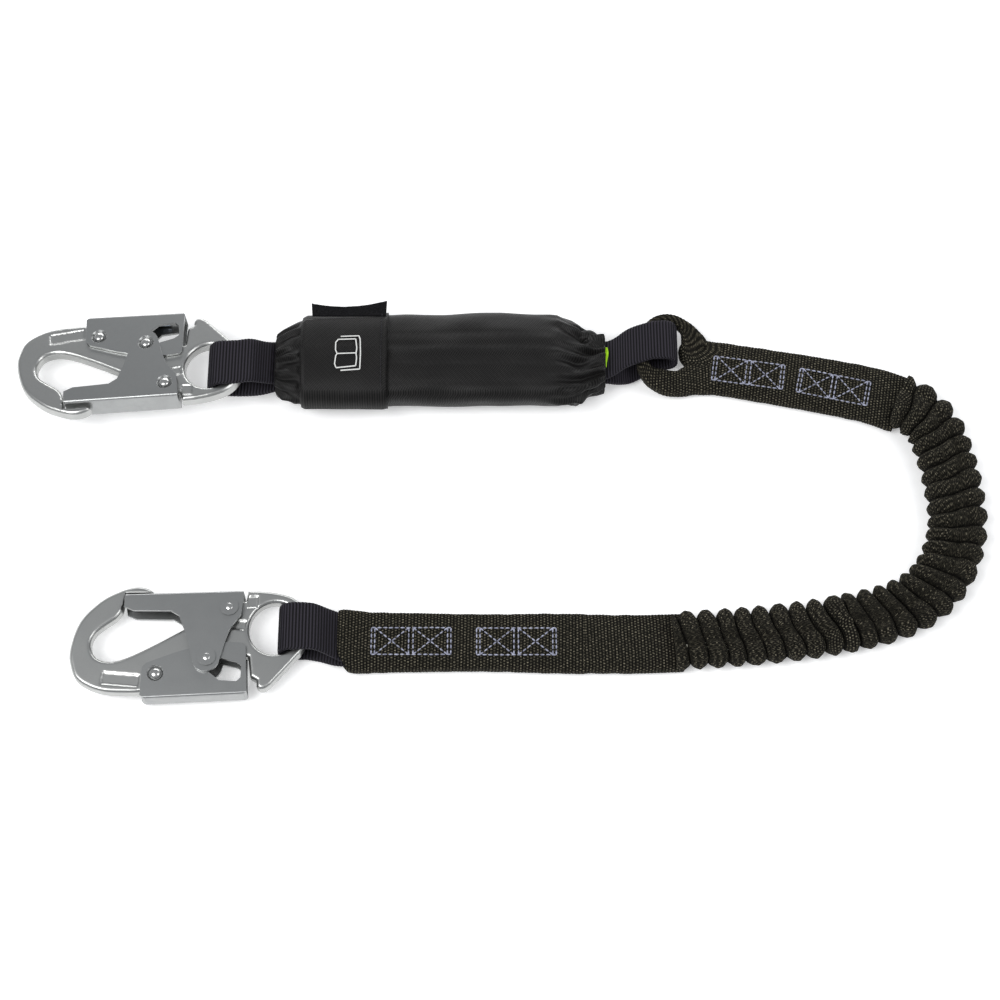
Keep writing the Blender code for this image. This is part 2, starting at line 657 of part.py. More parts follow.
def build_jacket_loop():
    """The jacket's own end, folded into a loop that passes through the link webbing.

    Each row is (x, y, height of the middle, half width, half height). The near and far legs are wide
    where they leave the flat jacket and narrow where they go through the webbing.
    """
    rows = smooth([
        (120.6, 81.3, 4.6, 8.8, 4.2), (114.7, 82.0, 4.6, 8.8, 4.2), (107.0, 79.2, 5.2, 8.8, 4.2),
        (98.0, 77.2, 7.6, 8.2, 4.4), (90.5, 78.4, 10.0, 6.0, 4.8), (85.4, 83.5, 10.0, 4.0, 4.8),
        (83.4, 91.0, 10.0, 3.2, 4.8), (83.6, 101.0, 10.0, 3.0, 4.8), (86.4, 111.6, 10.0, 2.8, 4.8),
        (93.4, 118.2, 10.0, 2.6, 4.8), (101.5, 120.2, 10.0, 2.6, 4.8), (109.6, 115.4, 9.0, 3.0, 4.6),
        (114.4, 106.6, 6.4, 5.6, 4.3), (117.6, 99.9, 4.7, 7.2, 4.2), (123.3, 98.9, 4.6, 7.4, 4.2),
    ], 2)
    level = along([row[:2] for row in rows], (1.0, 1.0), (1.0, 1.0), 4.0)
    sections = [((x, y, z), side, width, height, power)
                for (x, y, z, width, height), (_, side, _, _, power) in zip(rows, level)]
    finish_piece(loft("jacket_link_loop", sections, 12), JACKET)


def build_lower_leg():
    """The gathered run, the jacket's lower end and the sleeve over the sewn splice."""
    gathered = along(GATHER_RUN, (GATHER_WIDTH / 2,) * 2, (GATHER_HEIGHT / 2, 7.6), 2.6)
    finish_piece(loft("gathered_jacket_run", gathered, 16, GATHER_WALL), JACKET)
    core_half = (CORE_WIDTH / 2, CORE_WIDTH / 2)
    lift = (GATHER_HEIGHT - CORE_HEIGHT) / 2
    core = along(GATHER_RUN, core_half, (CORE_HEIGHT / 2,) * 2, 5.0, lift=lift)
    finish_piece(loft("elastic_core_run", core, 12), ELASTIC)
    flat = (JACKET_HEIGHT / 2, JACKET_HEIGHT / 2)
    finish_piece(loft("lower_jacket_end", along(LOWER_END, (17.6, 17.8), flat, 5.0), 20, JACKET_WALL),
                 JACKET)
    core = along(LOWER_END, core_half, (CORE_HEIGHT / 2 - 0.2,) * 2, 5.0, lift=2.2)
    finish_piece(loft("elastic_core_lower", core, 12), ELASTIC)
    sleeve = along(LOWER_SLEEVE, (18.3, 18.3), flat, 5.0)
    *rest, (centre, side, width, _, power) = sleeve
    mouth = (Vector(centre) + Vector((0, 0, 2.2)), side, width, JACKET_HEIGHT / 2 + 2.2, power)
    finish_piece(loft("lower_sleeve", [*rest, mouth], 20, JACKET_WALL), JACKET)


def thread_bar(start, stop, height):
    """One straight run of stitches as a thin bar."""
    way = Vector((stop[0] - start[0], stop[1] - start[1], 0.0))
    bm = bmesh.new()
    middle = Vector(((start[0] + stop[0]) / 2, (start[1] + stop[1]) / 2, height))
    turn = Matrix.Rotation(math.atan2(way.y, way.x), 4, "Z")
    size = Matrix.Diagonal((way.length + THREAD, THREAD, 0.6, 1.0))
    bmesh.ops.create_cube(bm, size=1.0, matrix=Matrix.Translation(middle) @ turn @ size)
    return bm


def build_box_stitch(number, middle, turn, length=42.0, width=16.0):
    """Two crossed boxes side by side, sewn through the jacket."""
    name = f"box_stitch_{number}"
    place = empty(name + "_place", (*middle, JACKET_HEIGHT + GAP + 0.3), (0, 0, turn), ROOT)
    half, edge = length / 2, width / 2
    ends = [(-half, -edge), (half, -edge), (half, edge), (-half, edge)]
    frame = list(zip(ends, [*ends[1:], ends[0]]))
    split = [((0.0, -edge), (0.0, edge))]
    crosses = []
    for left, right in ((-half, 0.0), (0.0, half)):
        crosses.append(((left, -edge), (right, edge)))
        crosses.append(((left, edge), (right, -edge)))
    bars = [*frame, *split, *crosses]
    lattice = mesh_object(name, thread_bar(*bars[0], 0.0))
    finish_piece(lattice, STITCH, place)
    for number_of_bar, bar in enumerate(bars[1:]):
        more = mesh_object(f"{name}_bar_{number_of_bar}", thread_bar(*bar, 0.0))
        finish_piece(more, STITCH, place, CUTTERS)
        join(lattice, more)


# ---------------------------------------------------------------- the whole lanyard

build_hook("a", HOOK_A_EYE, HOOK_A_TURN, flipped=True)
build_hook("b", HOOK_B_EYE, HOOK_B_TURN, flipped=False)
build_hook_a_loop()
build_hook_b_loop()
build_link_loop()
build_cover()
build_absorber()
build_label()
build_tag()
build_jacket_loop()
build_upper_leg()
build_lower_leg()
empty("link_axis", LINK_AXIS, (0, 0, 0), ROOT)
build_box_stitch(1, (147.0, 83.6), -8.6)
build_box_stitch(2, (196.8, 74.0), -12.8)
build_box_stitch(3, (-49.8, -86.8), 0.0, length=44.6)
build_box_stitch(4, (9.2, -87.0), 0.0, length=44.6)
bpy.context.view_layer.update()
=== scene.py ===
"""Looks of a shock absorbing lanyard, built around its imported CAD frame.

Lengths are in millimetres in the layout's own coordinates, with X along the energy absorber, Y across it and
Z up. The layout becomes the row frame by a small shift and a scale to metres.
"""

import json
import math

import bmesh
import bpy
import numpy as np
from mathutils import Matrix, Vector, noise


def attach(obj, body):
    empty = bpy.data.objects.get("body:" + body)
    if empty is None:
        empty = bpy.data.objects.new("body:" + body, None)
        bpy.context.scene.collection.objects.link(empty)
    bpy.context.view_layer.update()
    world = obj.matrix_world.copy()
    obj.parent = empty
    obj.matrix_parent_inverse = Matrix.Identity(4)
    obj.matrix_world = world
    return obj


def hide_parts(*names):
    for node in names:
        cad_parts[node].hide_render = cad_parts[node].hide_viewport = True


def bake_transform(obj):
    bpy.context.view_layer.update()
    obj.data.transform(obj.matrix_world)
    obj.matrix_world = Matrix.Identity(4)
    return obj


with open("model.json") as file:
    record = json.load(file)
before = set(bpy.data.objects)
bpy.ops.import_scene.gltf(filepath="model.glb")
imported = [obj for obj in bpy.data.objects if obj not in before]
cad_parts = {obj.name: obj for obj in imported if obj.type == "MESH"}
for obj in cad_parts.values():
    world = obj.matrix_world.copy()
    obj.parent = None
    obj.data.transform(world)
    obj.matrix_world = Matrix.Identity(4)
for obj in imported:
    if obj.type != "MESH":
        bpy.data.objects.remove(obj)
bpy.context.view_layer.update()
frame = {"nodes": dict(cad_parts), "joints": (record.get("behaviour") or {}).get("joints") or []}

MM = 0.001
SHIFT = np.array((3.0, 0.15, 0.0))
NODES = frame["nodes"]
JOINTS = {joint["name"]: joint for joint in frame["joints"]}

# Pitches of the ribs in the webbing and the jacket, and of what lies along or beside them.
RIB_PITCH = 1.9
YARN_PITCH = 0.55
WEAVE_PITCH = 1.9
BEAD_PITCH = 1.7
TWILL_PITCH = 1.45
PUFF_PITCH = 10.6
# The chevron runs this far out from the middle of the pack's top.
CHEVRON_REACH = 26.0
UP = (0.0, 0.0, 1.0)
ACROSS = (0.0, 1.0, 0.0)

# ---- camera

CAMERA_ELEVATION = 65.0
CAMERA_DISTANCE = 1.3
CAMERA_LENS = 81.25


def build_camera():
    """The view from the front, looking steeply down at the middle of the lanyard."""
    target = Vector((0.003, 0.00015, 0.010))
    angle = math.radians(CAMERA_ELEVATION)
    data = bpy.data.cameras.new("camera")
    data.lens = CAMERA_LENS
    data.sensor_width = 36.0
    camera = bpy.data.objects.new("camera", data)
    camera.location = target + CAMERA_DISTANCE * Vector((0, -math.cos(angle), math.sin(angle)))
    camera.rotation_euler = (math.pi / 2 - angle, 0, 0)
    bpy.context.scene.collection.objects.link(camera)
    bpy.context.scene.camera = camera


# ---- material helpers


def shader(name, colour, roughness, metallic=0.0, sheen=0.0, sheen_tint=(1, 1, 1), shine=0.5):
    """A new Principled material, as (material, node tree, shader node)."""
    made = bpy.data.materials.new(name)
    made.use_nodes = True
    principled = made.node_tree.nodes["Principled BSDF"]
    for label, value in (("Base Color", (*colour, 1.0)), ("Roughness", roughness), ("Metallic", metallic),
                         ("Sheen Weight", sheen), ("Sheen Tint", (*sheen_tint, 1.0)),
                         ("Specular IOR Level", shine)):
        principled.inputs[label].default_value = value
    return made, made.node_tree, principled


def put(tree, value, socket):
    """Sets a socket to a number, or links another socket to it."""
    if isinstance(value, bpy.types.NodeSocket):
        tree.links.new(value, socket)
    else:
        socket.default_value = value


def calc(tree, operation, first, second=0.0):
    """A Math node's result."""
    made = tree.nodes.new("ShaderNodeMath")
    made.operation = operation
    put(tree, first, made.inputs[0])
    put(tree, second, made.inputs[1])
    return made.outputs[0]


def ramp(tree, value, low, high, to_low=0.0, to_high=1.0):
    """The value taken smoothly from one range to another."""
    made = tree.nodes.new("ShaderNodeMapRange")
    made.interpolation_type = "SMOOTHSTEP"
    put(tree, value, made.inputs["Value"])
    for label, number in (("From Min", low), ("From Max", high), ("To Min", to_low), ("To Max", to_high)):
        made.inputs[label].default_value = number
    return made.outputs[0]


def grain(tree, scale, detail=3.0, rough=0.6, vector=None):
    """Noise over the piece's own coordinates, about 0.5 in the middle."""
    made = tree.nodes.new("ShaderNodeTexNoise")
    made.inputs["Scale"].default_value = scale
    made.inputs["Detail"].default_value = detail
    made.inputs["Roughness"].default_value = rough
    if vector is None:
        vector = tree.nodes.new("ShaderNodeTexCoord").outputs["Object"]
    tree.links.new(vector, made.inputs["Vector"])
    return made.outputs["Fac"]


def blend_colour(tree, factor, first, second):
    """A mix of two colours, each three numbers or a socket."""
    made = tree.nodes.new("ShaderNodeMix")
    made.data_type = "RGBA"
    put(tree, factor, made.inputs["Factor"])
    for value, socket in ((first, made.inputs["A"]), (second, made.inputs["B"])):
        put(tree, value if isinstance(value, bpy.types.NodeSocket) else (*value, 1.0), socket)
    return made.outputs["Result"]


def weighted(tree, *terms):
    """The sum of values, each times a number."""
    total, *others = [calc(tree, "MULTIPLY", value, share) for value, share in terms]
    for other in others:
        total = calc(tree, "ADD", total, other)
    return total


def paint(tree, principled, factor, first, second):
    """Makes a mix of two colours the base colour."""
    tree.links.new(blend_colour(tree, factor, first, second), principled.inputs["Base Color"])


def bump(tree, principled, height, distance, strength=1.0):
    """Height in 0 to 1 as relief of that many millimetres."""
    made = tree.nodes.new("ShaderNodeBump")
    made.inputs["Distance"].default_value = distance * MM
    made.inputs["Strength"].default_value = strength
    tree.links.new(height, made.inputs["Height"])
    tree.links.new(made.outputs["Normal"], principled.inputs["Normal"])


def cloth_place(tree):
    """Where a point of the cloth is: (mm along it, mm round it, how deep in a fold, all three together)."""
    made = tree.nodes.new("ShaderNodeAttribute")
    made.attribute_name = "cloth"
    parts = tree.nodes.new("ShaderNodeSeparateXYZ")
    tree.links.new(made.outputs["Vector"], parts.inputs[0])
    return (*parts.outputs, made.outputs["Vector"])


def waves(tree, place, pitch):
    """A sine along a distance in mm, with that pitch."""
    return calc(tree, "SINE", calc(tree, "MULTIPLY", place, 2 * math.pi / pitch))


# ---- materials


def steel(name, colour, roughness):
    """Zinc plated steel: satin, very faintly mottled, with a fine grain."""
    made, tree, principled = shader(name, colour, roughness, metallic=1.0)
    mottle = grain(tree, 120.0, 3.0, 0.6)
    speckle = grain(tree, 3000.0, 2.0, 0.5)
    mix = weighted(tree, (mottle, 0.6), (speckle, 0.4))
    dark, light = ([c * share for c in colour] for share in (0.93, 1.06))
    paint(tree, principled, ramp(tree, mix, 0.3, 0.7), dark, light)
    satin = ramp(tree, mix, 0.3, 0.7, roughness + 0.03, roughness - 0.03)
    tree.links.new(satin, principled.inputs["Roughness"])
    bump(tree, principled, speckle, 0.02, 0.3)
    return made


def ribbed_webbing():
    """Black nylon webbing: a painted violet-grey sheen on the crest of each rib, over a fine yarn."""
    made, tree, principled = shader("black_webbing", (0.02, 0.019, 0.024), 0.6, 0.0, 0.03,
                                    (0.8, 0.76, 0.95), 0.12)
    along, around, _, place = cloth_place(tree)
    rib = waves(tree, calc(tree, "SUBTRACT", along, RIB_PITCH / 4), RIB_PITCH)
    yarn = waves(tree, around, YARN_PITCH)
    fleck = grain(tree, 1.4, 3.0, 0.7, place)
    height = weighted(tree, (rib, 0.35), (yarn, 0.10), (fleck, 0.5))
    # Painted sheen: the colour goes lighter and violet-grey on each rib's crest, and the yarn and fleck add
    # random tone.
    tone = ramp(tree, height, -0.05, 0.62)
    paint(tree, principled, tone, (0.0018, 0.0017, 0.0022), (0.032, 0.029, 0.038))
    bump(tree, principled, height, 0.14, 0.6)
    return made


def ballistic_nylon():
    """Near-black ballistic nylon in a chevron twill that turns to plain ribs on the sides."""
    made, tree, principled = shader("ballistic_nylon", (0.012, 0.0115, 0.011), 0.44, 0.0, 0.01, shine=0.19)
    along, around, _, place = cloth_place(tree)
    slant = calc(tree, "MINIMUM", calc(tree, "ABSOLUTE", around), CHEVRON_REACH)
    twill = waves(tree, calc(tree, "ADD", along, slant), TWILL_PITCH)
    cross = waves(tree, calc(tree, "SUBTRACT", along, slant), TWILL_PITCH * 2.2)
    fleck = grain(tree, 1.1, 4.0, 0.7, place)
    height = weighted(tree, (twill, 0.42), (cross, 0.1), (fleck, 0.5))
    tone = ramp(tree, height, -0.05, 0.7)
    worn = ramp(tree, grain(tree, 38.0), 0.4, 0.75, 0.0, 0.5)
    light = blend_colour(tree, worn, (0.016, 0.0154, 0.0150), (0.030, 0.0285, 0.027))
    paint(tree, principled, tone, (0.0014, 0.0013, 0.0013), light)
    bump(tree, principled, height, 0.16, 0.7)
    return made


def woven_jacket():
    """The tubular jacket: dark ribs of beads across it, flecked with tan, with painted shade that darkens it
    to black down in its folds.
    """
    made, tree, principled = shader("tubular_jacket", (0.03, 0.027, 0.02), 0.9, 0.0, 0.02,
                                    (0.9, 0.85, 0.7), 0.08)
    along, around, depth, place = cloth_place(tree)
    number = calc(tree, "FLOOR", calc(tree, "DIVIDE", along, WEAVE_PITCH))
    rib = calc(tree, "ABSOLUTE", waves(tree, along, 2 * WEAVE_PITCH))
    turn = weighted(tree, (around, 2 * math.pi / BEAD_PITCH), (number, math.pi))
    bead = calc(tree, "MULTIPLY", calc(tree, "ADD", calc(tree, "SINE", turn), 1.0), 0.5)
    fibre = grain(tree, 1.5, 4.0, 0.75, place)
    patch = grain(tree, 0.5, 2.0, 0.6, place)
    ridge = calc(tree, "MULTIPLY", rib, bead)
    strand = weighted(tree, (ridge, 0.6), (calc(tree, "SUBTRACT", fibre, 0.5), 2.2))
    tan = ramp(tree, strand, 0.22, 0.85)
    shade = ramp(tree, patch, 0.42, 0.62)
    warm = blend_colour(tree, shade, (0.105, 0.095, 0.068), (0.300, 0.270, 0.195))
    yarn = blend_colour(tree, tan, (0.0095, 0.0090, 0.0070), warm)
    surface = blend_colour(tree, ramp(tree, rib, 0.12, 0.62), (0.0020, 0.0019, 0.0016), yarn)
    # Painted shade: the colour goes near black where the cloth lies deep between two puffs.
    paint(tree, principled, ramp(tree, depth, 0.30, 0.85, 0.0, 0.9), surface, (0.0012, 0.0011, 0.0010))
    height = weighted(tree, (rib, 0.5), (ridge, 0.5), (fibre, 0.5))
    bump(tree, principled, height, 0.4, 0.9)
    return made


def thread():
    """Bonded thread, pale lavender grey, with a slight twist to it."""
    made, tree, principled = shader("stitch_thread", (0.5, 0.52, 0.64), 0.5, shine=0.3)
    tone = ramp(tree, grain(tree, 900.0), 0.3, 0.7)
    paint(tree, principled, tone, (0.16, 0.165, 0.22), (0.46, 0.48, 0.60))
    bump(tree, principled, grain(tree, 2600.0, 2.0), 0.08, 0.6)
    return made


def fuzzy_strip():
    """Hook-and-loop tape: a dull black pile."""
    made, tree, principled = shader("hook_and_loop", (0.006, 0.006, 0.0065), 0.95, 0.0, 0.03,
                                    (0.5, 0.5, 0.55), 0.1)
    pile = grain(tree, 1900.0, 4.0, 0.8)
    paint(tree, principled, ramp(tree, pile, 0.35, 0.7), (0.002, 0.002, 0.0022), (0.018, 0.018, 0.020))
    bump(tree, principled, pile, 0.35)
    return made


def plain_cloth(name, dark, light, roughness, scale=900.0, depth=0.12):
    """A simple fabric, film or paper: two close tones over a fine relief."""
    made, tree, principled = shader(name, light, roughness, shine=0.25)
    tone = grain(tree, scale, 3.0, 0.65)
    paint(tree, principled, ramp(tree, tone, 0.3, 0.7), dark, light)
    bump(tree, principled, tone, depth, 0.7)
    return made


ZINC = steel("zinc_plated_steel", (0.36, 0.367, 0.365), 0.36)
FORGED = steel("forged_zinc_steel", (0.47, 0.475, 0.465), 0.33)
RIVET = steel("rivet_steel", (0.62, 0.62, 0.61), 0.22)
SPRING = steel("spring_steel", (0.32, 0.36, 0.42), 0.28)
WEBBING = ribbed_webbing()
BALLISTIC = ballistic_nylon()
JACKET = woven_jacket()
THREAD = thread()
PILE = fuzzy_strip()
TAG = plain_cloth("fluorescent_tag", (0.34, 0.72, 0.004), (0.55, 0.95, 0.02), 0.45, 500.0, 0.05)
PRINT = plain_cloth("pale_print", (0.62, 0.62, 0.60), (0.82, 0.82, 0.80), 0.6, 1500.0, 0.06)
ELASTIC = plain_cloth("elastic_core", (0.55, 0.52, 0.42), (0.78, 0.75, 0.66), 0.8, 700.0)
TEAR = plain_cloth("tear_webbing", (0.48, 0.45, 0.36), (0.72, 0.70, 0.60), 0.75, 800.0)
FILM = plain_cloth("shrink_film", (0.20, 0.21, 0.22), (0.32, 0.33, 0.34), 0.22, 90.0, 0.3)
PAPER = plain_cloth("label_pages", (0.74, 0.74, 0.72), (0.84, 0.84, 0.82), 0.6, 300.0, 0.03)
STRAP = plain_cloth("backup_strap", (0.008, 0.008, 0.010), (0.030, 0.029, 0.034), 0.6, 800.0)


# ---- mesh helpers


def place_mesh(name, mesh, finish):
    """A mesh as an object in the scene, in one material."""
    obj = bpy.data.objects.new(name, mesh)
    bpy.context.scene.collection.objects.link(obj)
    mesh.materials.clear()
    mesh.materials.append(finish)
    return obj


def to_world(points):
    """Layout millimetres to metres in the row frame."""
    return (np.asarray(points, float) + SHIFT) * MM


def grid_faces(rows, columns, closed):
    """Quads over a grid of points, round and round if closed."""
    index = np.arange(rows * columns).reshape(rows, columns)
    right = np.roll(index, -1, axis=1)
    if not closed:
        index, right = index[:, :-1], right[:, :-1]
    return np.stack([index[:-1], right[:-1], right[1:], index[1:]], axis=-1).reshape(-1, 4)


def capped(base, rings, sides):
    """The faces of a tube with both ends closed, whose points start at base."""
    ring = np.arange(base, base + sides)
    return [*(base + grid_faces(rings, sides, True)), ring[::-1], ring + (rings - 1) * sides]


def mesh_of(name, points, faces, finish, cloth=None):
    """An object from points in layout mm, its normals outward, with its place on the cloth kept."""
    mesh = bpy.data.meshes.new(name)
    mesh.from_pydata(to_world(points).tolist(), [], [list(map(int, face)) for face in faces])
    bm = bmesh.new()
    bm.from_mesh(mesh)
    bmesh.ops.recalc_face_normals(bm, faces=bm.faces)
    bm.to_mesh(mesh)
    bm.free()
    if cloth is not None:
        attribute = mesh.attributes.new("cloth", "FLOAT_VECTOR", "POINT")
        flat = np.zeros((len(points), 3), np.float32)
        flat[:, :2] = cloth
        attribute.data.foreach_set("vector", flat.ravel())
    mesh.shade_smooth()
    return place_mesh(name, mesh, finish)


def smooth(points, pitch=0.5):
    """Points an even pitch apart on a Catmull-Rom curve through the given ones."""
    given = np.asarray(points, float)
    ends = np.vstack([2 * given[0] - given[1], given, 2 * given[-1] - given[-2]])
    t = np.linspace(0, 1, 24, endpoint=False)[:, None]
    found = []
    for p, q, r, s in zip(ends, ends[1:], ends[2:], ends[3:]):
        found.append(0.5 * (2 * q + (r - p) * t + (2 * p - 5 * q + 4 * r - s) * t**2
                            + (3 * q - p - 3 * r + s) * t**3))
    return evenly(np.vstack([*found, given[-1:]]), pitch)


def evenly(points, pitch):
    """The same line with its points an even distance apart."""
    points = np.asarray(points, float)
    reach = distances(points)
    count = max(2, int(round(reach[-1] / pitch)) + 1)
    wanted = np.linspace(0, reach[-1], count)
    return np.stack([np.interp(wanted, reach, points[:, k]) for k in range(points.shape[1])], axis=1)


def distances(points):
    """Distance along a line at each of its points."""
    return np.concatenate([[0], np.cumsum(np.linalg.norm(np.diff(points, axis=0), axis=1))])


def tangents(points):
    """Unit direction of a line at each of its points."""
    way = np.gradient(points, axis=0)
    return way / np.linalg.norm(way, axis=1)[:, None]


def section(half_width, half_height, power, count):
    """A superellipse as (x, y, outward x, outward y, mm round it from the middle of its top)."""
    angles = np.linspace(0, 2 * np.pi, 721) + np.pi / 2
    c, s = np.cos(angles), np.sin(angles)
    x = half_width * np.sign(c) * np.abs(c) ** (2 / power)
    y = half_height * np.sign(s) * np.abs(s) ** (2 / power)
    reach = np.concatenate([[0], np.cumsum(np.hypot(np.diff(x), np.diff(y)))])
    wanted = np.linspace(0, reach[-1], count, endpoint=False)
    x, y = np.interp(wanted, reach, x), np.interp(wanted, reach, y)
    dx, dy = np.roll(x, -1) - np.roll(x, 1), np.roll(y, -1) - np.roll(y, 1)
    size = np.hypot(dx, dy)
    around = np.where(wanted > reach[-1] / 2, wanted - reach[-1], wanted)
    return x, y, dy / size, -dx / size, around


def tube(name, finish, centres, sides, ups, widths, heights, power, count, offset=None, warp=None,
         close=True, along=None):
    """A skin round a line of superellipse sections.

    It moves outward by offset(mm along, mm around, x, y, how far it faces up); warp then moves its points.
    """
    rows = len(centres)
    along = distances(centres) if along is None else along
    sizes = [np.broadcast_to(value, rows) for value in (widths, heights, power)]
    shape = [section(*size, count) for size in zip(*sizes)]
    x, y, nx, ny, around = (np.stack(part) for part in zip(*shape))
    run = np.repeat(along[:, None], count, axis=1)
    if offset is not None:
        out = offset(run, around, x, y, ny)
        x, y = x + nx * out, y + ny * out
    points = centres[:, None] + sides[:, None] * x[..., None] + ups[:, None] * y[..., None]
    if warp is not None:
        points = warp(points, run, around)
    step = np.linalg.norm(np.diff(points, axis=0), axis=2)
    surface = along[0] + np.vstack([np.zeros(count), np.cumsum(step, axis=0)])
    cloth = np.stack([surface.ravel(), around.ravel()], axis=1)
    points = points.reshape(-1, 3)
    faces = grid_faces(rows, count, True).tolist()
    if close:
        for row in (0, rows - 1):
            ring = np.arange(row * count, (row + 1) * count)
            points = np.vstack([points, points[ring].mean(axis=0)])
            cloth = np.vstack([cloth, cloth[ring].mean(axis=0)])
            hub = len(points) - 1
            faces += [[int(a), int(b), hub] for a, b in zip(ring, np.roll(ring, -1))]
    return mesh_of(name, points, faces, finish, cloth)


def points_at(x, y, z):
    """Points from their coordinates, spread to one shape."""
    return np.stack(np.broadcast_arrays(x, y, z), axis=-1)


def ripple(x, y, z, scale, seed=0.0):
    """Smooth noise between about -1 and 1 over arrays of places in mm."""
    x, y, z = np.broadcast_arrays(x, y, z)
    flat = [noise.noise(Vector((a / scale + seed, b / scale, c / scale)))
            for a, b, c in zip(x.ravel(), y.ravel(), z.ravel())]
    return np.array(flat).reshape(x.shape)


def bell(value, middle, width):
    """A smooth hump of height 1."""
    return np.exp(-(((value - middle) / width) ** 2))


def step_up(value, low, high):
    """0 below low, 1 above high and smooth between them."""
    t = np.clip((value - low) / (high - low), 0, 1)
    return t * t * (3 - 2 * t)


def stands_for(obj, body, slot, *nodes):
    """The piece rides on a body and stands for CAD nodes, which are hidden; the slot is not used."""
    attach(obj, body)
    if nodes:
        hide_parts(*nodes)
    return obj


# ---- webbing loops


def strap_loop(name, body, width, thickness, top, turn, under):
    """Ribbed webbing with its width along Y: along its top line, round a turn and back by its lower line."""
    centres = evenly(np.vstack([smooth(top), turned(*turn), smooth(under)]), 0.34)
    way = tangents(centres)
    side = np.tile(ACROSS, (len(centres), 1))
    up = np.cross(way, side)
    up /= np.linalg.norm(up, axis=1)[:, None]

    def ribs(run, around, x, y, ny):
        face = np.abs(ny) ** 2
        rib = np.abs(np.sin(np.pi * run / RIB_PITCH)) ** 0.8
        edge = np.sin(2 * np.pi * run / RIB_PITCH) * (1 - face) * 0.12
        return face * (0.26 * rib - 0.1) + edge

    span = distances(centres)
    waver = 0.25 * np.sin(span / 9.0) + 0.15 * np.sin(span / 4.1 + 1.0)
    made = tube(name, WEBBING, centres, side, up, width / 2 + waver, thickness / 2, 6.0, 76, ribs)
    return stands_for(made, body, "black_webbing", name)


def turned(centre_x, y, centre_z, radius, start, stop):
    """Points round the end of a folded strap."""
    angles = np.radians(np.linspace(start, stop, 21))
    return [(centre_x + radius * math.cos(a), y, centre_z + radius * math.sin(a)) for a in angles]


def build_webbing():
    """The three webbing loops."""
    strap_loop("hook_a_webbing_loop", "energy_pack", 28.0, 2.4,
               [(-98.0, 84.8, 18.7), (-128.0, 84.8, 18.7), (-136.6, 83.0, 22.6), (-145.5, 80.4, 30.4),
                (-153.0, 78.8, 31.6)], (-161.5, 78.6, 23.2, 8.0, 95, 265),
               [(-153.0, 78.8, 14.8), (-140.0, 80.4, 13.6), (-124.0, 84.8, 13.2), (-98.0, 84.8, 13.2)])
    strap_loop("hook_b_webbing_loop", "lower_leg", 28.0, 2.2,
               [(-62.0, -85.9, 5.8), (-84.0, -85.0, 6.4), (-93.0, -83.0, 9.6), (-103.0, -81.2, 16.6),
                (-109.0, -80.9, 17.8)], (-115.2, -80.9, 9.7, 8.0, 95, 265),
               [(-109.0, -81.2, 1.7), (-101.0, -83.0, 2.2), (-93.0, -85.6, 4.1), (-84.0, -85.8, 3.5),
                (-62.0, -85.9, 3.3)])
    strap_loop("link_webbing_loop", "energy_pack", 25.0, 2.2,
               [(28.0, 87.0, 18.0), (46.0, 87.0, 18.0), (63.0, 87.2, 18.0), (76.0, 95.0, 19.0),
                (90.0, 100.4, 18.6)], (96.6, 100.8, 10.9, 7.6, 85, -85),
               [(88.0, 98.0, 3.3), (78.0, 92.0, 3.7), (71.0, 88.6, 8.6), (64.5, 87.0, 12.8),
                (52.0, 87.0, 14.2), (28.0, 87.0, 14.2)])


# ---- energy absorber pack

PACK_Z = 16.0
PACK_LEFT, PACK_RIGHT = -131.5, 61.5
BAND_LEFT, BAND_RIGHT = -116.5, -66.0
# How far the band, and the flap's two faces, stand outside the cover.
BAND_GROW, FLAP_UNDER, FLAP_OVER = 1.2, 2.6, 3.6
# The cover's sections: X, middle Y, half width, half height and power.
STATIONS = np.array([
    (PACK_LEFT, 84.8, 18.0, 9.6, 2.4), (-128.0, 85.0, 21.4, 10.8, 2.4), (-122.0, 85.8, 24.4, 12.2, 2.5),
    (-114.0, 87.2, 27.8, 13.9, 2.6), (-64.0, 88.0, 29.0, 14.0, 2.6), (0.0, 88.6, 29.4, 14.2, 2.6),
    (34.0, 88.0, 28.9, 14.0, 2.6), (42.0, 86.0, 26.0, 13.2, 2.5), (48.0, 84.8, 22.6, 12.2, 2.5),
    (55.0, 85.6, 18.2, 11.0, 2.4), (PACK_RIGHT, 87.0, 16.2, 10.2, 2.4),
])


def pack_at(x, grow=0.0):
    """The pack's section at places along X: middle Y, half width, half height and power."""
    middle, width, height, power = (np.interp(x, STATIONS[:, 0], STATIONS[:, k]) for k in range(1, 5))
    return middle, width + grow, height + grow, power


def pack_frames(x):
    """Centres, sides and ups of the pack's sections."""
    centres = points_at(x, pack_at(x)[0], PACK_Z)
    return centres, np.tile(ACROSS, (len(x), 1)), np.tile(UP, (len(x), 1))


def pack_relief(x, around, half):
    """Folds in the cover: pleats that run in from both gathered ends, and slack between them."""
    turn = around / half
    left = 1 - step_up(x, PACK_LEFT + 2.0, PACK_LEFT + 26.0)
    right = step_up(x, PACK_RIGHT - 44.0, PACK_RIGHT - 10.0)
    wander = 0.5 * np.sin(x / 5.0) + 0.4 * np.sin(turn * 5.0 + 1.0)
    pleats = np.sin(13 * np.pi * turn + wander) + 0.5 * np.sin(21 * np.pi * turn - wander * 1.4 + 0.7)
    gathers = pleats * (1.25 * left + 1.6 * right**1.5)
    crush = ripple(x, around, 0.0, 8.0, 4.0) * (2.0 * left + 3.0 * right**2)
    slack = 1.1 * ripple(x, around, 0.0, 34.0, 9.0) + 0.9 * ripple(x * 0.6, around, 0.0, 13.0, 2.0)
    return gathers + crush + slack * step_up(x, PACK_LEFT, PACK_LEFT + 12.0)


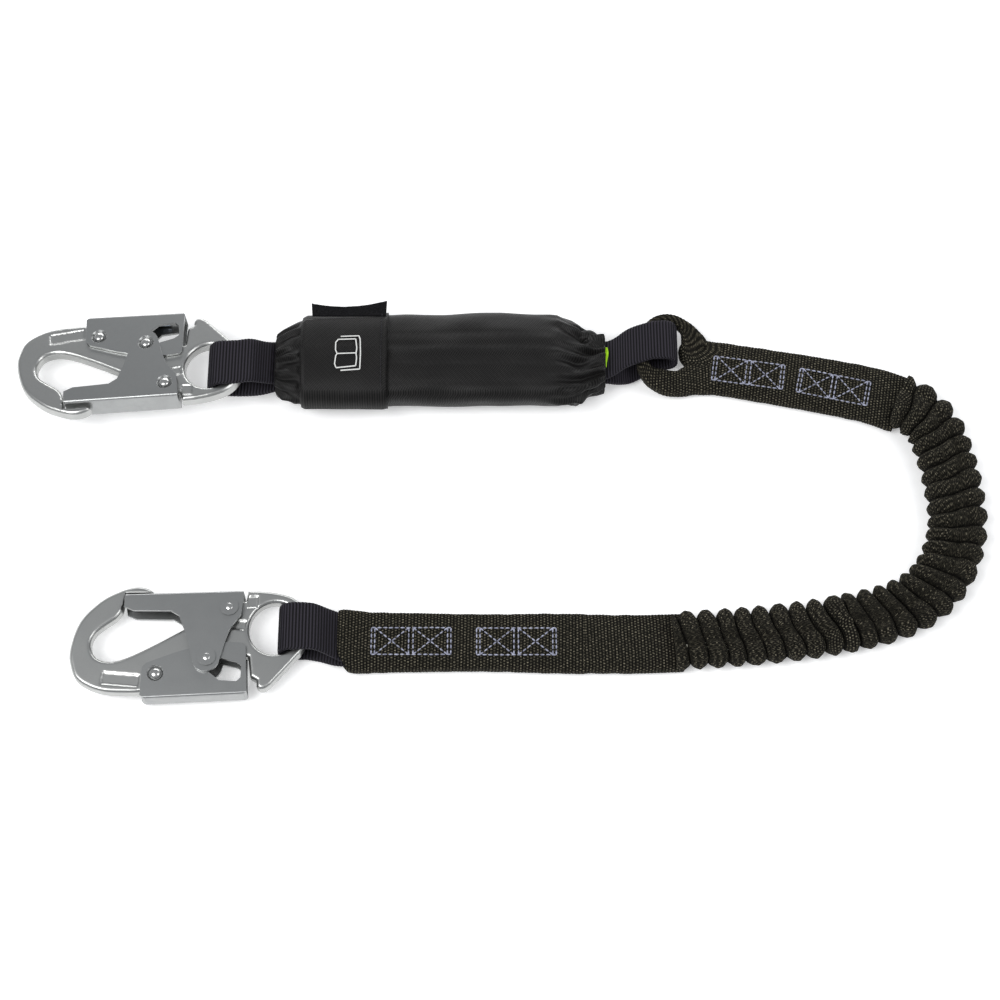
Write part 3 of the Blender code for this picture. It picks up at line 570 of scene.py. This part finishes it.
def build_cover():
    """The cover with both of its ends gathered, and turned in on themselves."""
    body = np.linspace(PACK_LEFT, PACK_RIGHT, 265)
    lip = np.array([(7.0, -3.4), (3.0, -3.0), (0.6, -2.2), (-0.4, -1.0)])
    x = np.concatenate([PACK_LEFT + lip[:, 0], body, PACK_RIGHT - lip[::-1, 0]])
    shrink = np.concatenate([lip[:, 1], np.zeros(len(body)), lip[::-1, 1]])
    _, width, height, power = pack_at(x)
    centres, sides, ups = pack_frames(x)
    free = 1 - step_up(x, BAND_LEFT - 2.5, BAND_LEFT) * (1 - step_up(x, BAND_RIGHT, BAND_RIGHT + 3.0))

    def folds(run, around, wide, high, ny):
        half = np.abs(around).max(axis=1)[:, None]
        return pack_relief(x[:, None], around, half) * free[:, None] - 0.25

    made = tube("pack_cover_cloth", BALLISTIC, centres, sides, ups, width + shrink, height + shrink, power,
                220, folds, close=False, along=x - x[0])
    stands_for(made, "energy_pack", "ballistic_nylon", "pack_cover")


def panel(name, finish, outer, inner, middle=0.0):
    """A closed sheet between two grids of points, its weave laid out from a middle line along X."""
    rows, columns = outer.shape[:2]
    count = rows * columns
    faces = grid_faces(rows, columns, False)
    index = np.arange(count).reshape(rows, columns)
    rim = np.concatenate([index[0, :-1], index[:-1, -1], index[-1, :0:-1], index[:0:-1, 0]])
    walls = [[a, b, b + count, a + count] for a, b in zip(rim, np.roll(rim, -1))]
    points = np.concatenate([outer.reshape(-1, 3), inner.reshape(-1, 3)])
    both = [*faces.tolist(), *(faces[:, ::-1] + count).tolist(), *walls]
    return mesh_of(name, points, both, finish, np.tile(points[:count, :2] - (0.0, middle), (2, 1)))


def wrap_point(x, angle, grow):
    """A point on the pack's section at an angle in degrees, 0 at +Y and 90 on top."""
    middle, width, height, power = pack_at(x, grow)
    c, s = np.cos(np.radians(angle)), np.sin(np.radians(angle))
    y = middle + width * np.sign(c) * np.abs(c) ** (2 / power)
    z = PACK_Z + height * np.sign(s) * np.abs(s) ** (2 / power)
    return points_at(x, y, z)


def grid(rows, columns):
    """Two arrays of places over a grid, from the two lists of values along its sides."""
    return np.meshgrid(rows, columns, indexing="ij")


def build_label():
    """The band round the pack and the flap over it, with its strip and its marks."""
    body = np.linspace(BAND_LEFT, BAND_RIGHT, 80)
    x = np.concatenate([[BAND_LEFT + 4, BAND_LEFT + 0.2], body, [BAND_RIGHT - 0.2, BAND_RIGHT - 4]])
    shrink = np.pad(np.zeros(len(body)), 2, constant_values=-0.8)
    _, width, height, power = pack_at(x, BAND_GROW)
    band = tube("label_band_cloth", BALLISTIC, *pack_frames(x), width + shrink, height + shrink, power, 200,
                lambda run, around, a, b, ny: 0.25 * ripple(run, around, 0.0, 16.0, 3.0) - 0.1,
                close=False, along=x - x[0])
    stands_for(band, "energy_pack", "ballistic_nylon", "label_band")

    left, right, lower = BAND_LEFT + 0.5, BAND_RIGHT - 0.5, 54
    x, angle = grid(np.linspace(left, right, 90), np.linspace(lower, 180, 120))
    outer, inner = (wrap_point(x, angle, grow) for grow in (FLAP_OVER, FLAP_UNDER))
    lift = np.minimum(0.35 * ripple(x, angle * 0.5, 0.0, 15.0, 6.0), 0.4)
    roll = 0.5 * (bell(x, left, 1.2) + bell(x, right, 1.2) + bell(angle, lower, 2.0))
    outward = (outer - inner) / np.linalg.norm(outer - inner, axis=-1, keepdims=True)
    outer = outer + outward * (lift - roll)[..., None]
    flap = panel("label_flap_cloth", BALLISTIC, outer, inner, 87.5)
    stands_for(flap, "label_flap", "ballistic_nylon", "label_flap")
    build_strip()
    build_flap_marks()


def build_strip():
    """The flap's hook-and-loop strip, its far edge hollow and its ends curled up."""
    u, v = grid(np.linspace(-1, 1, 120), np.linspace(0, 1, 30))
    far = 2.6 * u**2 + 0.9 * u
    x = -88.8 + 22.2 * u - 0.5 * (1 - v) * u
    y = 110.5 + (5.6 + far) * v
    lift = 28.6 + 0.8 * v + 0.9 * u**2 * v + 0.25 * ripple(x, y, 0.0, 5.0, 1.0)
    pile = 0.22 * ripple(x, y, 0.0, 0.9, 8.0)
    strip = panel("flap_strip_pile", PILE, points_at(x, y, lift + 1.5 + pile), points_at(x, y, lift))
    stands_for(strip, "label_flap", "hook_and_loop", "flap_fastener_strip")


def on_flap(x, y):
    """A point on the flap's upper face over a place in plan."""
    middle, width, height, power = pack_at(x, FLAP_OVER)
    return np.array((x, y, PACK_Z + height * (1 - abs((y - middle) / width) ** power) ** (1 / power)))


def ribbon(name, finish, lines, half_width, thickness, slot, lift, gap):
    """Flat printed or sewn lines that lie on the flap, all in one piece."""
    points, faces, cloth = [], [], []
    for line in lines:
        flat = evenly(line, gap)
        way = tangents(flat)
        base = len(points)
        for (x, y), (dx, dy) in zip(flat, way):
            for side, up in ((-1, 0.0), (1, 0.0), (1, thickness), (-1, thickness)):
                place = on_flap(x - dy * side * half_width, y + dx * side * half_width)
                points.append(place + (0.0, 0.0, lift + up))
                cloth.append((x, y))
        faces += capped(base, len(flat), 4)
    stands_for(mesh_of(name, points, faces, finish, cloth), "label_flap", slot)


def build_flap_marks():
    """A plain open-book outline printed on the flap, and the stitching down its right side."""
    left, right, low, high, spine = -95.2, -81.2, 73.9, 92.3, 82.9
    cover = [(left, low), (left - 0.9, low + 2.4), (left - 0.4, spine - 1.6), (left + 0.4, spine),
             (left - 0.6, spine + 2.4), (left - 0.6, high - 2.0), (left + 0.8, high)]
    top = [(left + 0.8, high), (right - 3.0, high + 0.3)]
    page = [(right - 3.0, high + 0.3), (right - 2.2, spine + 3.4), (right - 2.6, spine + 0.4),
            (right - 2.2, spine - 3.0), (right - 2.6, low + 1.2)]
    base = [(right - 2.6, low + 1.2), (left, low)]
    back = [(left + 2.2, high + 2.0), (right - 1.2, high + 2.4), (right - 0.4, high),
            (right, spine), (right - 0.2, low - 0.8), (left + 2.6, low - 1.6)]
    middle = [(left + 0.4, spine), (right - 2.6, spine + 0.4)]
    ribbon("open_book_print", PRINT, [cover, top, page, base, back, middle], 0.36, 0.12, "stitch_thread",
           0.42, 0.5)
    x, first, pitch, stitch = BAND_RIGHT - 3.4, 63.5, 2.3, 1.7
    seam = [[(x, first + pitch * k), (x, first + pitch * k + stitch)] for k in range(22)]
    ribbon("flap_seam", STRAP, seam, 0.22, 0.16, "black_webbing", 0.34, 0.6)


def hem(side, x):
    """The elastic band sewn in just behind one gathered end."""
    centres = wrap_point(x, np.linspace(0, 360, 121), -5.4)
    way = tangents(centres)
    sides = np.tile((1.0, 0.0, 0.0), (len(centres), 1))
    made = tube(f"hem_elastic_{side}", ELASTIC, centres, sides, np.cross(way, sides), 2.0, 0.5, 3.0, 20)
    stands_for(made, "energy_pack", "elastic", f"pack_{side}_hem_elastic")


def build_ends():
    """The hems, the knotted ear at the pack's right end, and the inspection tag that peeps out there."""
    hem("left", PACK_LEFT + 5.5)
    hem("right", PACK_RIGHT - 5.5)
    path = smooth([(46.0, 97.4, 21.0), (48.6, 99.6, 23.6), (52.4, 100.2, 24.0), (55.6, 98.4, 22.4),
                   (56.4, 95.6, 19.0)])
    way = tangents(path)
    side = np.cross(way, UP)
    side /= np.linalg.norm(side, axis=1)[:, None]
    up = np.cross(side, way)
    size = 2.8 + 0.6 * np.sin(np.linspace(0, math.pi, len(path)))
    made = tube("cover_ear", BALLISTIC, path, side, up, size, size * 0.8, 2.2, 60,
                lambda run, around, x, y, ny: 0.5 * ripple(run, around, 0.0, 3.0, 5.0))
    stands_for(made, "energy_pack", "ballistic_nylon")
    u, v = grid(np.linspace(0, 1, 24), np.linspace(-1, 1, 30))
    x = 42.6 + 20.6 * u + 0.6 * np.sin(2.5 * v + 0.6) * u
    y = 87.4 + 6.4 * v
    z = 19.9 + 1.0 * u**2 + 0.6 * np.cos(2.2 * v) + 0.5 * bell(v, 1.0, 0.25) * u
    tag = panel("tag_sheet", TAG, points_at(x, y, z + 0.5), points_at(x, y, z))
    stands_for(tag, "energy_pack", "tag_green", "inspection_tag")


# ---- elastic leg

UPPER_JACKET = [(122.6, 89.6), (140.0, 86.8), (177.0, 80.0), (207.0, 73.8), (222.0, 69.8), (236.6, 63.9)]
GATHER_ARC = [(233.4, 65.5), (240.8, 61.4), (247.6, 55.6), (254.0, 46.4), (258.2, 32.5), (261.0, 16.4),
              (262.6, 0.4), (262.6, -13.5), (260.2, -26.0), (256.0, -37.6), (249.8, -48.6), (240.6, -58.4),
              (228.6, -66.0), (213.9, -71.4), (196.8, -75.6)]
GATHER_RUN = [(197.2, -75.5), (176.9, -79.2), (157.1, -81.8), (134.5, -84.0), (112.0, -85.4), (97.6, -86.4)]
LOWER_END = [(102.6, -86.1), (76.0, -86.9), (46.0, -86.6)]
LOWER_SLEEVE = [(49.6, -86.7), (10.0, -86.2), (-40.0, -85.9), (-74.0, -85.9), (-91.0, -85.9)]
JACKET_HEIGHT = 9.0
CORE_Z = 9.0


def level_sides(flat):
    """Sides and ups, square to a line of (x, y) points."""
    way = tangents(flat)
    return np.column_stack([-way[:, 1], way[:, 0], np.zeros(len(flat))]), np.tile(UP, (len(flat), 1))


def level_path(points, pitch=0.5):
    """A smooth line through (x, y) points on the floor, as (centres, sides, ups)."""
    flat = smooth(points, pitch)
    return np.column_stack([flat, np.zeros(len(flat))]), *level_sides(flat)


def woven(run, around):
    """The jacket's own relief: ribs across it, each a row of beads."""
    rib = np.abs(np.sin(np.pi * run / WEAVE_PITCH)) ** 0.7
    bead = 0.5 + 0.5 * np.sin(2 * np.pi * around / BEAD_PITCH + np.pi * np.floor(run / WEAVE_PITCH))
    return rib * (0.22 + 0.1 * bead) - 0.12


def flat_jacket(name, points, body, node, width, seed, warp=None, rise=np.zeros_like):
    """A pressed-flat length of jacket: thin at its selvedges, a little wavy, with a real weave."""
    centres, sides, ups = level_path(points)
    span = distances(centres)
    t = span / span[-1]
    high = JACKET_HEIGHT / 2 + rise(t)
    centres[:, 2] = high
    tuck = 1 - 0.25 * (bell(t, 0.0, 0.012) + bell(t, 1.0, 0.012))

    def relief(run, around, x, y, ny):
        top = step_up(ny, 0.2, 0.8)
        wave = 0.35 * ripple(run, around, 0.0, 17.0, seed) + 0.18 * ripple(run, around, 0.0, 6.0, seed)
        crown = 0.5 * (1 - (x / 18.0) ** 2) * top
        return woven(run, around) + wave * top + crown - 0.5

    wide = width(t) + 0.35 * np.array([noise.noise(Vector((s / 7.0, seed, 0.0))) for s in span])
    made = tube(name, JACKET, centres, sides, ups, wide * (0.94 + 0.06 * tuck), high * tuck, 4.2, 170, relief,
                warp=warp)
    stands_for(made, body, "jacket_weave", node)


def puffs(name, points, heights, seed, phase):
    """The gathered jacket: a row of puffs, skewed and pinched along the top."""
    centres, sides, ups = level_path(points, 0.55)
    span = distances(centres)
    high = heights[0] + (heights[1] - heights[0]) * span / span[-1]
    centres[:, 2] = high
    kept = []

    def folds(run, around, x, y, ny):
        lean = 0.08 * x + 1.6 * np.tanh((x - 1.0) / 5.0) + 1.8 * ripple(run, x, y, 19.0, seed)
        place = (run + lean) / PUFF_PITCH + phase
        number = np.floor(place)
        crest = np.abs(np.sin(np.pi * place)) ** 0.55
        kept.append(1 - crest)
        varied = 1 + 0.16 * np.sin(number * 2.4 + seed) + 0.1 * np.sin(number * 5.1 + seed * 2)
        pinch = 2.2 * bell(x, 4.0 + 2.0 * np.sin(number * 1.7), 2.6) * step_up(ny, 0.3, 0.8)
        low = step_up(-ny, 0.2, 0.8)
        crease = 0.3 * np.sin(2 * np.pi * (run + 0.3 * x) / 3.4 + number) * crest
        depth = (6.0 - 3.4 * low) * varied
        return (crest - 1.0) * depth + 1.0 - pinch * crest + crease * 0.5 - 0.4 * low

    made = tube(name, JACKET, centres, sides, ups, 16.2, high, 2.5, 150, folds)
    # The third number of a place on the cloth is how deep it lies between two puffs, which the jacket's
    # material turns into painted shade.
    place = np.zeros(len(made.data.vertices) * 3, np.float32)
    cloth = made.data.attributes["cloth"].data
    cloth.foreach_get("vector", place)
    place[2:kept[0].size * 3:3] = kept[0].ravel()
    cloth.foreach_set("vector", place)
    return made


def build_leg():
    """The leg from the linked loops round to the sleeve at hook B."""
    flat_jacket("upper_jacket_cloth", UPPER_JACKET, "stretch_leg", "upper_jacket",
                lambda t: 17.2 + 1.4 * t, 2.0)
    arc = puffs("gathered_arc_cloth", GATHER_ARC, (9.0, 9.0), 3.0, 0.15)
    stands_for(arc, "stretch_leg", "jacket_weave", "gathered_jacket_arc")
    run = puffs("gathered_run_cloth", GATHER_RUN, (9.0, 7.9), 5.0, 0.05)
    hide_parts("gathered_jacket_run")
    for piece in (run, core_run()):
        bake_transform(piece)
    flat_jacket("lower_end_cloth", LOWER_END, "lower_leg", "lower_jacket_end",
                lambda t: 17.3 + 0.3 * t, 7.0)

    def bevelled(points, run, around):
        """Cuts the mouth's near corner back."""
        near = np.clip((-93.0 - points[..., 1]) / 11.0, 0, 1)
        close = step_up(-points[..., 0], 62.0, 91.0)
        points[..., 0] += 6.5 * near**1.5 * close
        return points

    flat_jacket("lower_sleeve_cloth", LOWER_SLEEVE, "lower_leg", "lower_sleeve",
                lambda t: 18.0 - 0.9 * bell(t, 0.45, 0.25) + 0.8 * step_up(t, 0.8, 0.97), 11.0, bevelled,
                lambda t: 2.0 * step_up(t, 0.87, 1.0))
    build_jacket_loop()


def core_run():
    """The elastic core in the gathered run."""
    centres, sides, ups = level_path([*GATHER_RUN[:-1], (103.0, -86.0)], 2.0)
    centres[:, 2] = CORE_Z
    made = tube("elastic_core_stretch", ELASTIC, centres, sides, ups, 8.8, 2.3, 5.0, 40)
    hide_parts("elastic_core_run")
    return made


def build_jacket_loop():
    """The jacket's end as a loop round the link webbing: wide and flat at both legs, gathered between them.

    Each row is (x, y, height of the middle, half width, half height).
    """
    rows = smooth([
        (129.0, 81.4, 4.8, 9.4, 4.4), (116.0, 81.2, 5.0, 9.6, 4.5), (107.0, 77.8, 6.2, 7.8, 4.7),
        (98.0, 77.0, 8.6, 7.4, 4.9), (90.5, 79.0, 10.8, 6.0, 4.4), (86.0, 84.0, 10.9, 4.0, 4.3),
        (84.0, 91.0, 10.9, 3.2, 4.3), (84.2, 101.0, 10.9, 3.0, 4.3), (87.2, 110.6, 10.8, 2.7, 4.3),
        (93.4, 117.0, 10.4, 2.5, 4.5), (101.5, 118.4, 10.0, 2.5, 4.8), (110.3, 113.9, 8.6, 3.4, 4.8),
        (115.0, 105.4, 7.0, 7.2, 4.6), (117.4, 97.4, 5.0, 10.4, 4.4), (131.0, 95.6, 4.8, 9.0, 4.4),
    ])

    def relief(run, around, x, y, ny):
        return woven(run, around) + 0.3 * ripple(run, around, 0.0, 7.0, 1.0)

    made = tube("jacket_loop_cloth", JACKET, rows[:, :3], *level_sides(rows[:, :2]), *rows[:, 3:].T, 3.6, 96,
                relief)
    stands_for(made, "stretch_leg", "jacket_weave", "jacket_link_loop")


# ---- stitching


STITCH, STITCH_GAP = 2.5, 0.75
BOX_WIDTH = 16.0
THREAD_WIDTH, THREAD_HEIGHT = 0.46, 0.42


def stitches_along(start, stop):
    """Short runs of thread between two points in plan."""
    a, b = np.array(start, float), np.array(stop, float)
    reach = np.linalg.norm(b - a)
    count = max(1, int(round((reach + STITCH_GAP) / (STITCH + STITCH_GAP))))
    pitch = (reach + STITCH_GAP) / count
    way = (b - a) / reach
    return [(a + way * pitch * k, a + way * (pitch * k + pitch - STITCH_GAP)) for k in range(count)]


def box_pattern(length):
    """Two crossed boxes side by side, their ends and middle sewn twice."""
    half, edge = length / 2, BOX_WIDTH / 2
    lines = [((-half, edge), (half, edge)), ((-half, -edge), (half, -edge))]
    for x in (-half, -half + 1.9, -1.4, 1.1, half - 1.9, half):
        lines.append(((x, -edge), (x, edge)))
    for left, right in ((-half + 1.9, -1.4), (1.1, half - 1.9)):
        lines += [((left, -edge), (right, edge)), ((left, edge), (right, -edge))]
    return lines


def build_box_stitch(number, middle, turn, length, body):
    """Every stitch of one pattern as its own small bead of thread."""
    c, s = math.cos(math.radians(turn)), math.sin(math.radians(turn))
    points, faces = [], []
    sides, rings = 8, 5
    for line in box_pattern(length):
        for a, b in stitches_along(*line):
            jitter = 0.14 * noise.noise(Vector((a[0] * 3.1, a[1] * 2.3, number)))
            a, b = a + jitter, b + jitter * 0.5
            way = (b - a) / np.linalg.norm(b - a)
            across = np.array((-way[1], way[0]))
            base = len(points)
            for k in range(rings):
                t = k / (rings - 1)
                bulge = math.sqrt(max(0.12, 1 - (2 * t - 1) ** 2))
                for j in range(sides):
                    angle = 2 * math.pi * j / sides
                    x, y = a + (b - a) * t + across * THREAD_WIDTH * bulge * math.cos(angle)
                    z = JACKET_HEIGHT + 0.15 + THREAD_HEIGHT * bulge * (0.5 + math.sin(angle))
                    points.append((middle[0] + c * x - s * y, middle[1] + s * x + c * y, z))
            faces += capped(base, rings, sides)
    made = mesh_of(f"box_stitches_{number}", points, faces, THREAD)
    stands_for(made, body, "stitch_thread", f"box_stitch_{number}")


def build_stitching():
    """The four box patterns."""
    build_box_stitch(1, (147.0, 83.6), -8.6, 42.0, "stretch_leg")
    build_box_stitch(2, (196.8, 74.0), -12.8, 42.0, "stretch_leg")
    build_box_stitch(3, (-49.8, -86.8), 0.0, 44.6, "lower_leg")
    build_box_stitch(4, (9.2, -87.0), 0.0, 44.6, "lower_leg")


# ---- snap hooks

GATE_PIVOT = Vector((-25.9, 11.0, 0.0))
LEVER_PIVOT = Vector((-64.6, -28.6, 0.0))
LOCK_PIN = Vector((-36.6, -19.2, 0.0))
FRAME_HALF, GATE_HALF, LEVER_HALF = 4.0, 7.6, 5.8
FORGED_SLOPE, PANEL_SIZE, PANEL_OFFSET, VOXEL = 1.7, 4.0, 1.35, 0.5
SHEET_BEND, SHEET_EDGE, SHARP = 1.5, 0.32, 38
DISH_RADIUS, DISH_DEPTH, DISH_RISE = 4.7, 1.2, 0.6
# Each stamped panel on the frame's faces: its middle, its size and how far it's turned.
STAMPED = (((-84.0, -32.0), (21.0, 7.4), -4.0), ((-13.6, 15.6), (6.8, 7.2), 4.0),
           ((-20.4, 1.6), (8.0, 5.8), -6.0))


def hook_matrix(tag):
    """From the hook's own millimetres, measured from its eye, to the row frame, by its two pivots."""
    gate, lever = (Vector(JOINTS[f"hook_{tag}_{name}"]["pos_m"]) for name in ("gate_open", "lever_squeeze"))
    z = Vector(JOINTS[f"hook_{tag}_gate_open"]["axis"]).normalized()
    way = (lever - gate).normalized()
    own = (LEVER_PIVOT - GATE_PIVOT).normalized()
    across = z.cross(way)
    x = way * own.x - across * own.y
    y = way * own.y + across * own.x
    turn = Matrix((x, y, z)).transposed().to_4x4()
    origin = gate - (turn @ (GATE_PIVOT * MM))
    return Matrix.Translation(origin) @ turn @ Matrix.Scale(MM, 4)


def own_mesh(node, place):
    """A CAD node's mesh in the hook's own millimetres, welded and with its flat faces joined up."""
    bm = bmesh.new()
    bm.from_mesh(NODES[node].data)
    bmesh.ops.transform(bm, matrix=place.inverted(), verts=bm.verts)
    bmesh.ops.remove_doubles(bm, verts=bm.verts, dist=0.002)
    bmesh.ops.dissolve_limit(bm, angle_limit=math.radians(1.0), verts=bm.verts, edges=bm.edges)
    return bm


def new_piece(name, bm, finish, place):
    """A bmesh in the hook's own millimetres as an object in the row frame."""
    bmesh.ops.transform(bm, matrix=place, verts=bm.verts)
    bmesh.ops.recalc_face_normals(bm, faces=bm.faces)
    mesh = bpy.data.meshes.new(name)
    bm.to_mesh(mesh)
    bm.free()
    mesh.shade_smooth()
    return place_mesh(name, mesh, finish)


def applied(obj):
    """Replaces an object's mesh by what its modifiers make of it."""
    graph = bpy.context.evaluated_depsgraph_get()
    mesh = bpy.data.meshes.new_from_object(obj.evaluated_get(graph))
    obj.modifiers.clear()
    obj.data = mesh


def block(centre, size, turn, place):
    """A box cutter in the hook's own millimetres."""
    bm = bmesh.new()
    matrix = Matrix.Translation(centre) @ Matrix.Rotation(math.radians(turn), 4, "Z")
    bmesh.ops.create_cube(bm, size=1.0, matrix=matrix @ Matrix.Diagonal((*size, 1.0)))
    return new_piece("cutter", bm, ZINC, place)


def dish(centre, top, place):
    """A cone cutter that sinks a dish into a face at that height, from above or below."""
    bm = bmesh.new()
    sign = math.copysign(1, top)
    matrix = Matrix.Translation((centre.x, centre.y, top + sign * (DISH_RISE - DISH_DEPTH) / 2))
    narrow = DISH_RADIUS * 0.76
    wide = DISH_RADIUS + (DISH_RADIUS - narrow) * DISH_RISE / DISH_DEPTH
    small, large = (narrow, wide) if sign > 0 else (wide, narrow)
    bmesh.ops.create_cone(bm, cap_ends=True, segments=40, radius1=small, radius2=large,
                          depth=DISH_RISE + DISH_DEPTH, matrix=matrix)
    return new_piece("cutter", bm, ZINC, place)


def bevel(obj, width, degrees):
    """Bevels the edges that are sharper than that, by a width in mm."""
    made = obj.modifiers.new("bevel", "BEVEL")
    made.width = width * MM
    made.segments = 2
    made.limit_method = "ANGLE"
    made.angle_limit = math.radians(degrees)
    return made


def carve(obj, cutters):
    """Takes every cutter out of the piece, and removes the cutters."""
    for cutter in cutters:
        modifier = obj.modifiers.new("cut", "BOOLEAN")
        modifier.operation = "DIFFERENCE"
        modifier.solver = "EXACT"
        modifier.object = cutter
    applied(obj)
    for cutter in cutters:
        bpy.data.objects.remove(cutter)


def build_frame(tag, place):
    """The forged frame, softened all over, with its shallow stamped panels left blank."""
    made = new_piece(f"hook_{tag}_forging", own_mesh(f"hook_{tag}_frame", place), FORGED, place)
    bevel(made, FORGED_SLOPE, 60)
    applied(made)
    cutters = []
    for face in (-1, 1):
        for centre, size, turn in STAMPED:
            middle = Vector((*centre, face * (FRAME_HALF + PANEL_OFFSET)))
            cutters.append(block(middle, (*size, PANEL_SIZE), turn, place))
    carve(made, cutters)
    remesh = made.modifiers.new("remesh", "REMESH")
    remesh.mode = "VOXEL"
    remesh.voxel_size = VOXEL * MM
    soften = made.modifiers.new("soften", "SMOOTH")
    soften.factor = 0.5
    soften.iterations = 3
    applied(made)
    made.data.shade_smooth()
    stands_for(made, f"hook_{tag}", "zinc_steel", f"hook_{tag}_frame")


def build_channel(tag, label, node, body, place, half, fold, pivots):
    """A folded sheet channel with a round bend, dished holes and broken edges."""
    bm = own_mesh(node, place)
    (x1, y1), (x2, y2) = fold
    way = Vector((x2 - x1, y2 - y1)).normalized()

    def bends(edge):
        """Whether an edge is one of the two where the sheet folds."""
        if len(edge.link_faces) != 2 or edge.calc_face_angle(0.0) <= math.radians(SHARP):
            return False
        return all(abs(Vector((vert.co.x - x1, vert.co.y - y1)).cross(way)) < 0.7
                   and abs(abs(vert.co.z) - half) < 0.2 for vert in edge.verts)

    bmesh.ops.bevel(bm, geom=[edge for edge in bm.edges if bends(edge)], offset=SHEET_BEND,
                    offset_type="OFFSET", segments=5, profile=0.5, affect="EDGES", clamp_overlap=True)
    made = new_piece(f"hook_{tag}_{label}_sheet", bm, ZINC, place)
    carve(made, [dish(centre, face * half, place) for centre in pivots for face in (-1, 1)])
    bevel(made, SHEET_EDGE, SHARP).harden_normals = True
    weight = made.modifiers.new("weight", "WEIGHTED_NORMAL")
    weight.weight = 90
    weight.keep_sharp = False
    applied(made)
    stands_for(made, body, "zinc_steel", node)


def lathe(name, profile, centre, finish, place):
    """A piece turned about Z at a centre, from (radius, height) points."""
    bm = bmesh.new()
    segments = 40
    rings = []
    for radius, height in profile:
        if radius == 0:
            rings.append([bm.verts.new((centre.x, centre.y, height))] * segments)
            continue
        angles = [2 * math.pi * k / segments for k in range(segments)]
        rings.append([bm.verts.new((centre.x + radius * math.cos(a), centre.y + radius * math.sin(a), height))
                      for a in angles])
    for near, far in zip(rings, rings[1:]):
        for k in range(segments):
            corners = (near[k], near[(k + 1) % segments], far[(k + 1) % segments], far[k])
            bm.faces.new(list(dict.fromkeys(corners)))
    return new_piece(name, bm, finish, place)


def build_rivet(tag, label, node, centre, half, body, place):
    """A rivet with a bright dome peened into the dish at each end."""
    dome = [(2.95 * math.sin(a), half - 0.55 + 1.55 * math.cos(a)) for a in np.radians(np.linspace(0, 90, 9))]
    dome[0] = (0.0, dome[0][1])
    upper = [*dome, (3.0, half - 0.75), (2.3, half - 0.95)]
    profile = [*upper, *[(r, -z) for r, z in reversed(upper)]]
    made = lathe(f"hook_{tag}_{label}_rivet", profile, centre, RIVET, place)
    stands_for(made, body, "rivet_steel", f"hook_{tag}_{node}")


def build_hook(tag):
    """One snap hook: forging, gate, lock lever and three rivets."""
    place = hook_matrix(tag)
    build_frame(tag, place)
    build_channel(tag, "gate", f"hook_{tag}_gate", f"hook_{tag}_gate", place, GATE_HALF,
                  ((-84.9, 17.9), (-18.2, 21.2)), (GATE_PIVOT, LOCK_PIN))
    build_channel(tag, "lever", f"hook_{tag}_lock_lever", f"hook_{tag}_lever", place, LEVER_HALF,
                  ((-70.0, -43.6), (-14.0, -39.8)), (LEVER_PIVOT,))
    build_rivet(tag, "gate", "gate_pivot", GATE_PIVOT, GATE_HALF, f"hook_{tag}", place)
    build_rivet(tag, "lever", "lever_pivot", LEVER_PIVOT, LEVER_HALF, f"hook_{tag}", place)
    build_rivet(tag, "pin", "lock_pin", LOCK_PIN, GATE_HALF, f"hook_{tag}_gate", place)


# ---- what stays from the CAD

KEPT = {
    "energy_tear_webbing": TEAR, "backup_strap": STRAP, "absorber_film_sleeve": FILM, "label_pages": PAPER,
    **{f"elastic_core_{part}": ELASTIC for part in ("upper", "arc", "lower")},
    **{f"hook_{tag}_{part}_spring": SPRING for tag in "ab" for part in ("gate", "lever")},
}


def finish_kept_nodes():
    """Procedural materials on the hidden pieces that keep their CAD shape."""
    for node, finish in KEPT.items():
        NODES[node].data.materials.clear()
        NODES[node].data.materials.append(finish)


# ---- floor and light


def build_stage():
    """A plain pale floor."""
    made, tree, principled = shader("pale_floor", (0.93, 0.93, 0.93), 0.75)
    principled.inputs["Emission Color"].default_value = (1.0, 1.0, 1.0, 1.0)
    principled.inputs["Emission Strength"].default_value = 0.3
    tone = ramp(tree, grain(tree, 3.0), 0.3, 0.7)
    paint(tree, principled, tone, (0.92, 0.92, 0.92), (0.94, 0.94, 0.94))
    mesh = bpy.data.meshes.new("floor")
    reach, below = 6.0, -0.0006
    mesh.from_pydata([(-reach, -reach, 0), (reach, -reach, 0), (reach, reach, 0), (-reach, reach, 0)], [],
                     [(0, 1, 2, 3)])
    floor = place_mesh("floor", mesh, made)
    floor.location.z = below


def lamp(name, place, size, power):
    """A soft box that faces the middle of the lanyard."""
    data = bpy.data.lights.new(name, "AREA")
    data.shape = "RECTANGLE"
    data.size, data.size_y = size
    data.energy = power
    made = bpy.data.objects.new(name, data)
    made.location = place
    made.rotation_euler = (-Vector(place)).to_track_quat("-Z", "Y").to_euler()
    bpy.context.scene.collection.objects.link(made)


def build_light():
    """Soft studio light: an even world and three soft boxes."""
    world = bpy.data.worlds.new("studio")
    world.use_nodes = True
    background = world.node_tree.nodes["Background"]
    background.inputs[0].default_value = (0.93, 0.96, 1.0, 1.0)
    background.inputs[1].default_value = 0.36
    bpy.context.scene.world = world
    lamp("key", (-0.9, -0.5, 1.5), (1.0, 1.0), 21.0)
    lamp("fill", (1.1, -0.3, 1.2), (0.8, 1.2), 9.0)
    lamp("back", (0.1, 1.6, 0.5), (1.8, 0.4), 12.0)
    bpy.context.scene.view_settings.view_transform = "Standard"


build_camera()
build_webbing()
build_cover()
build_label()
build_ends()
build_leg()
build_stitching()
build_hook("a")
build_hook("b")
finish_kept_nodes()
build_stage()
build_light()
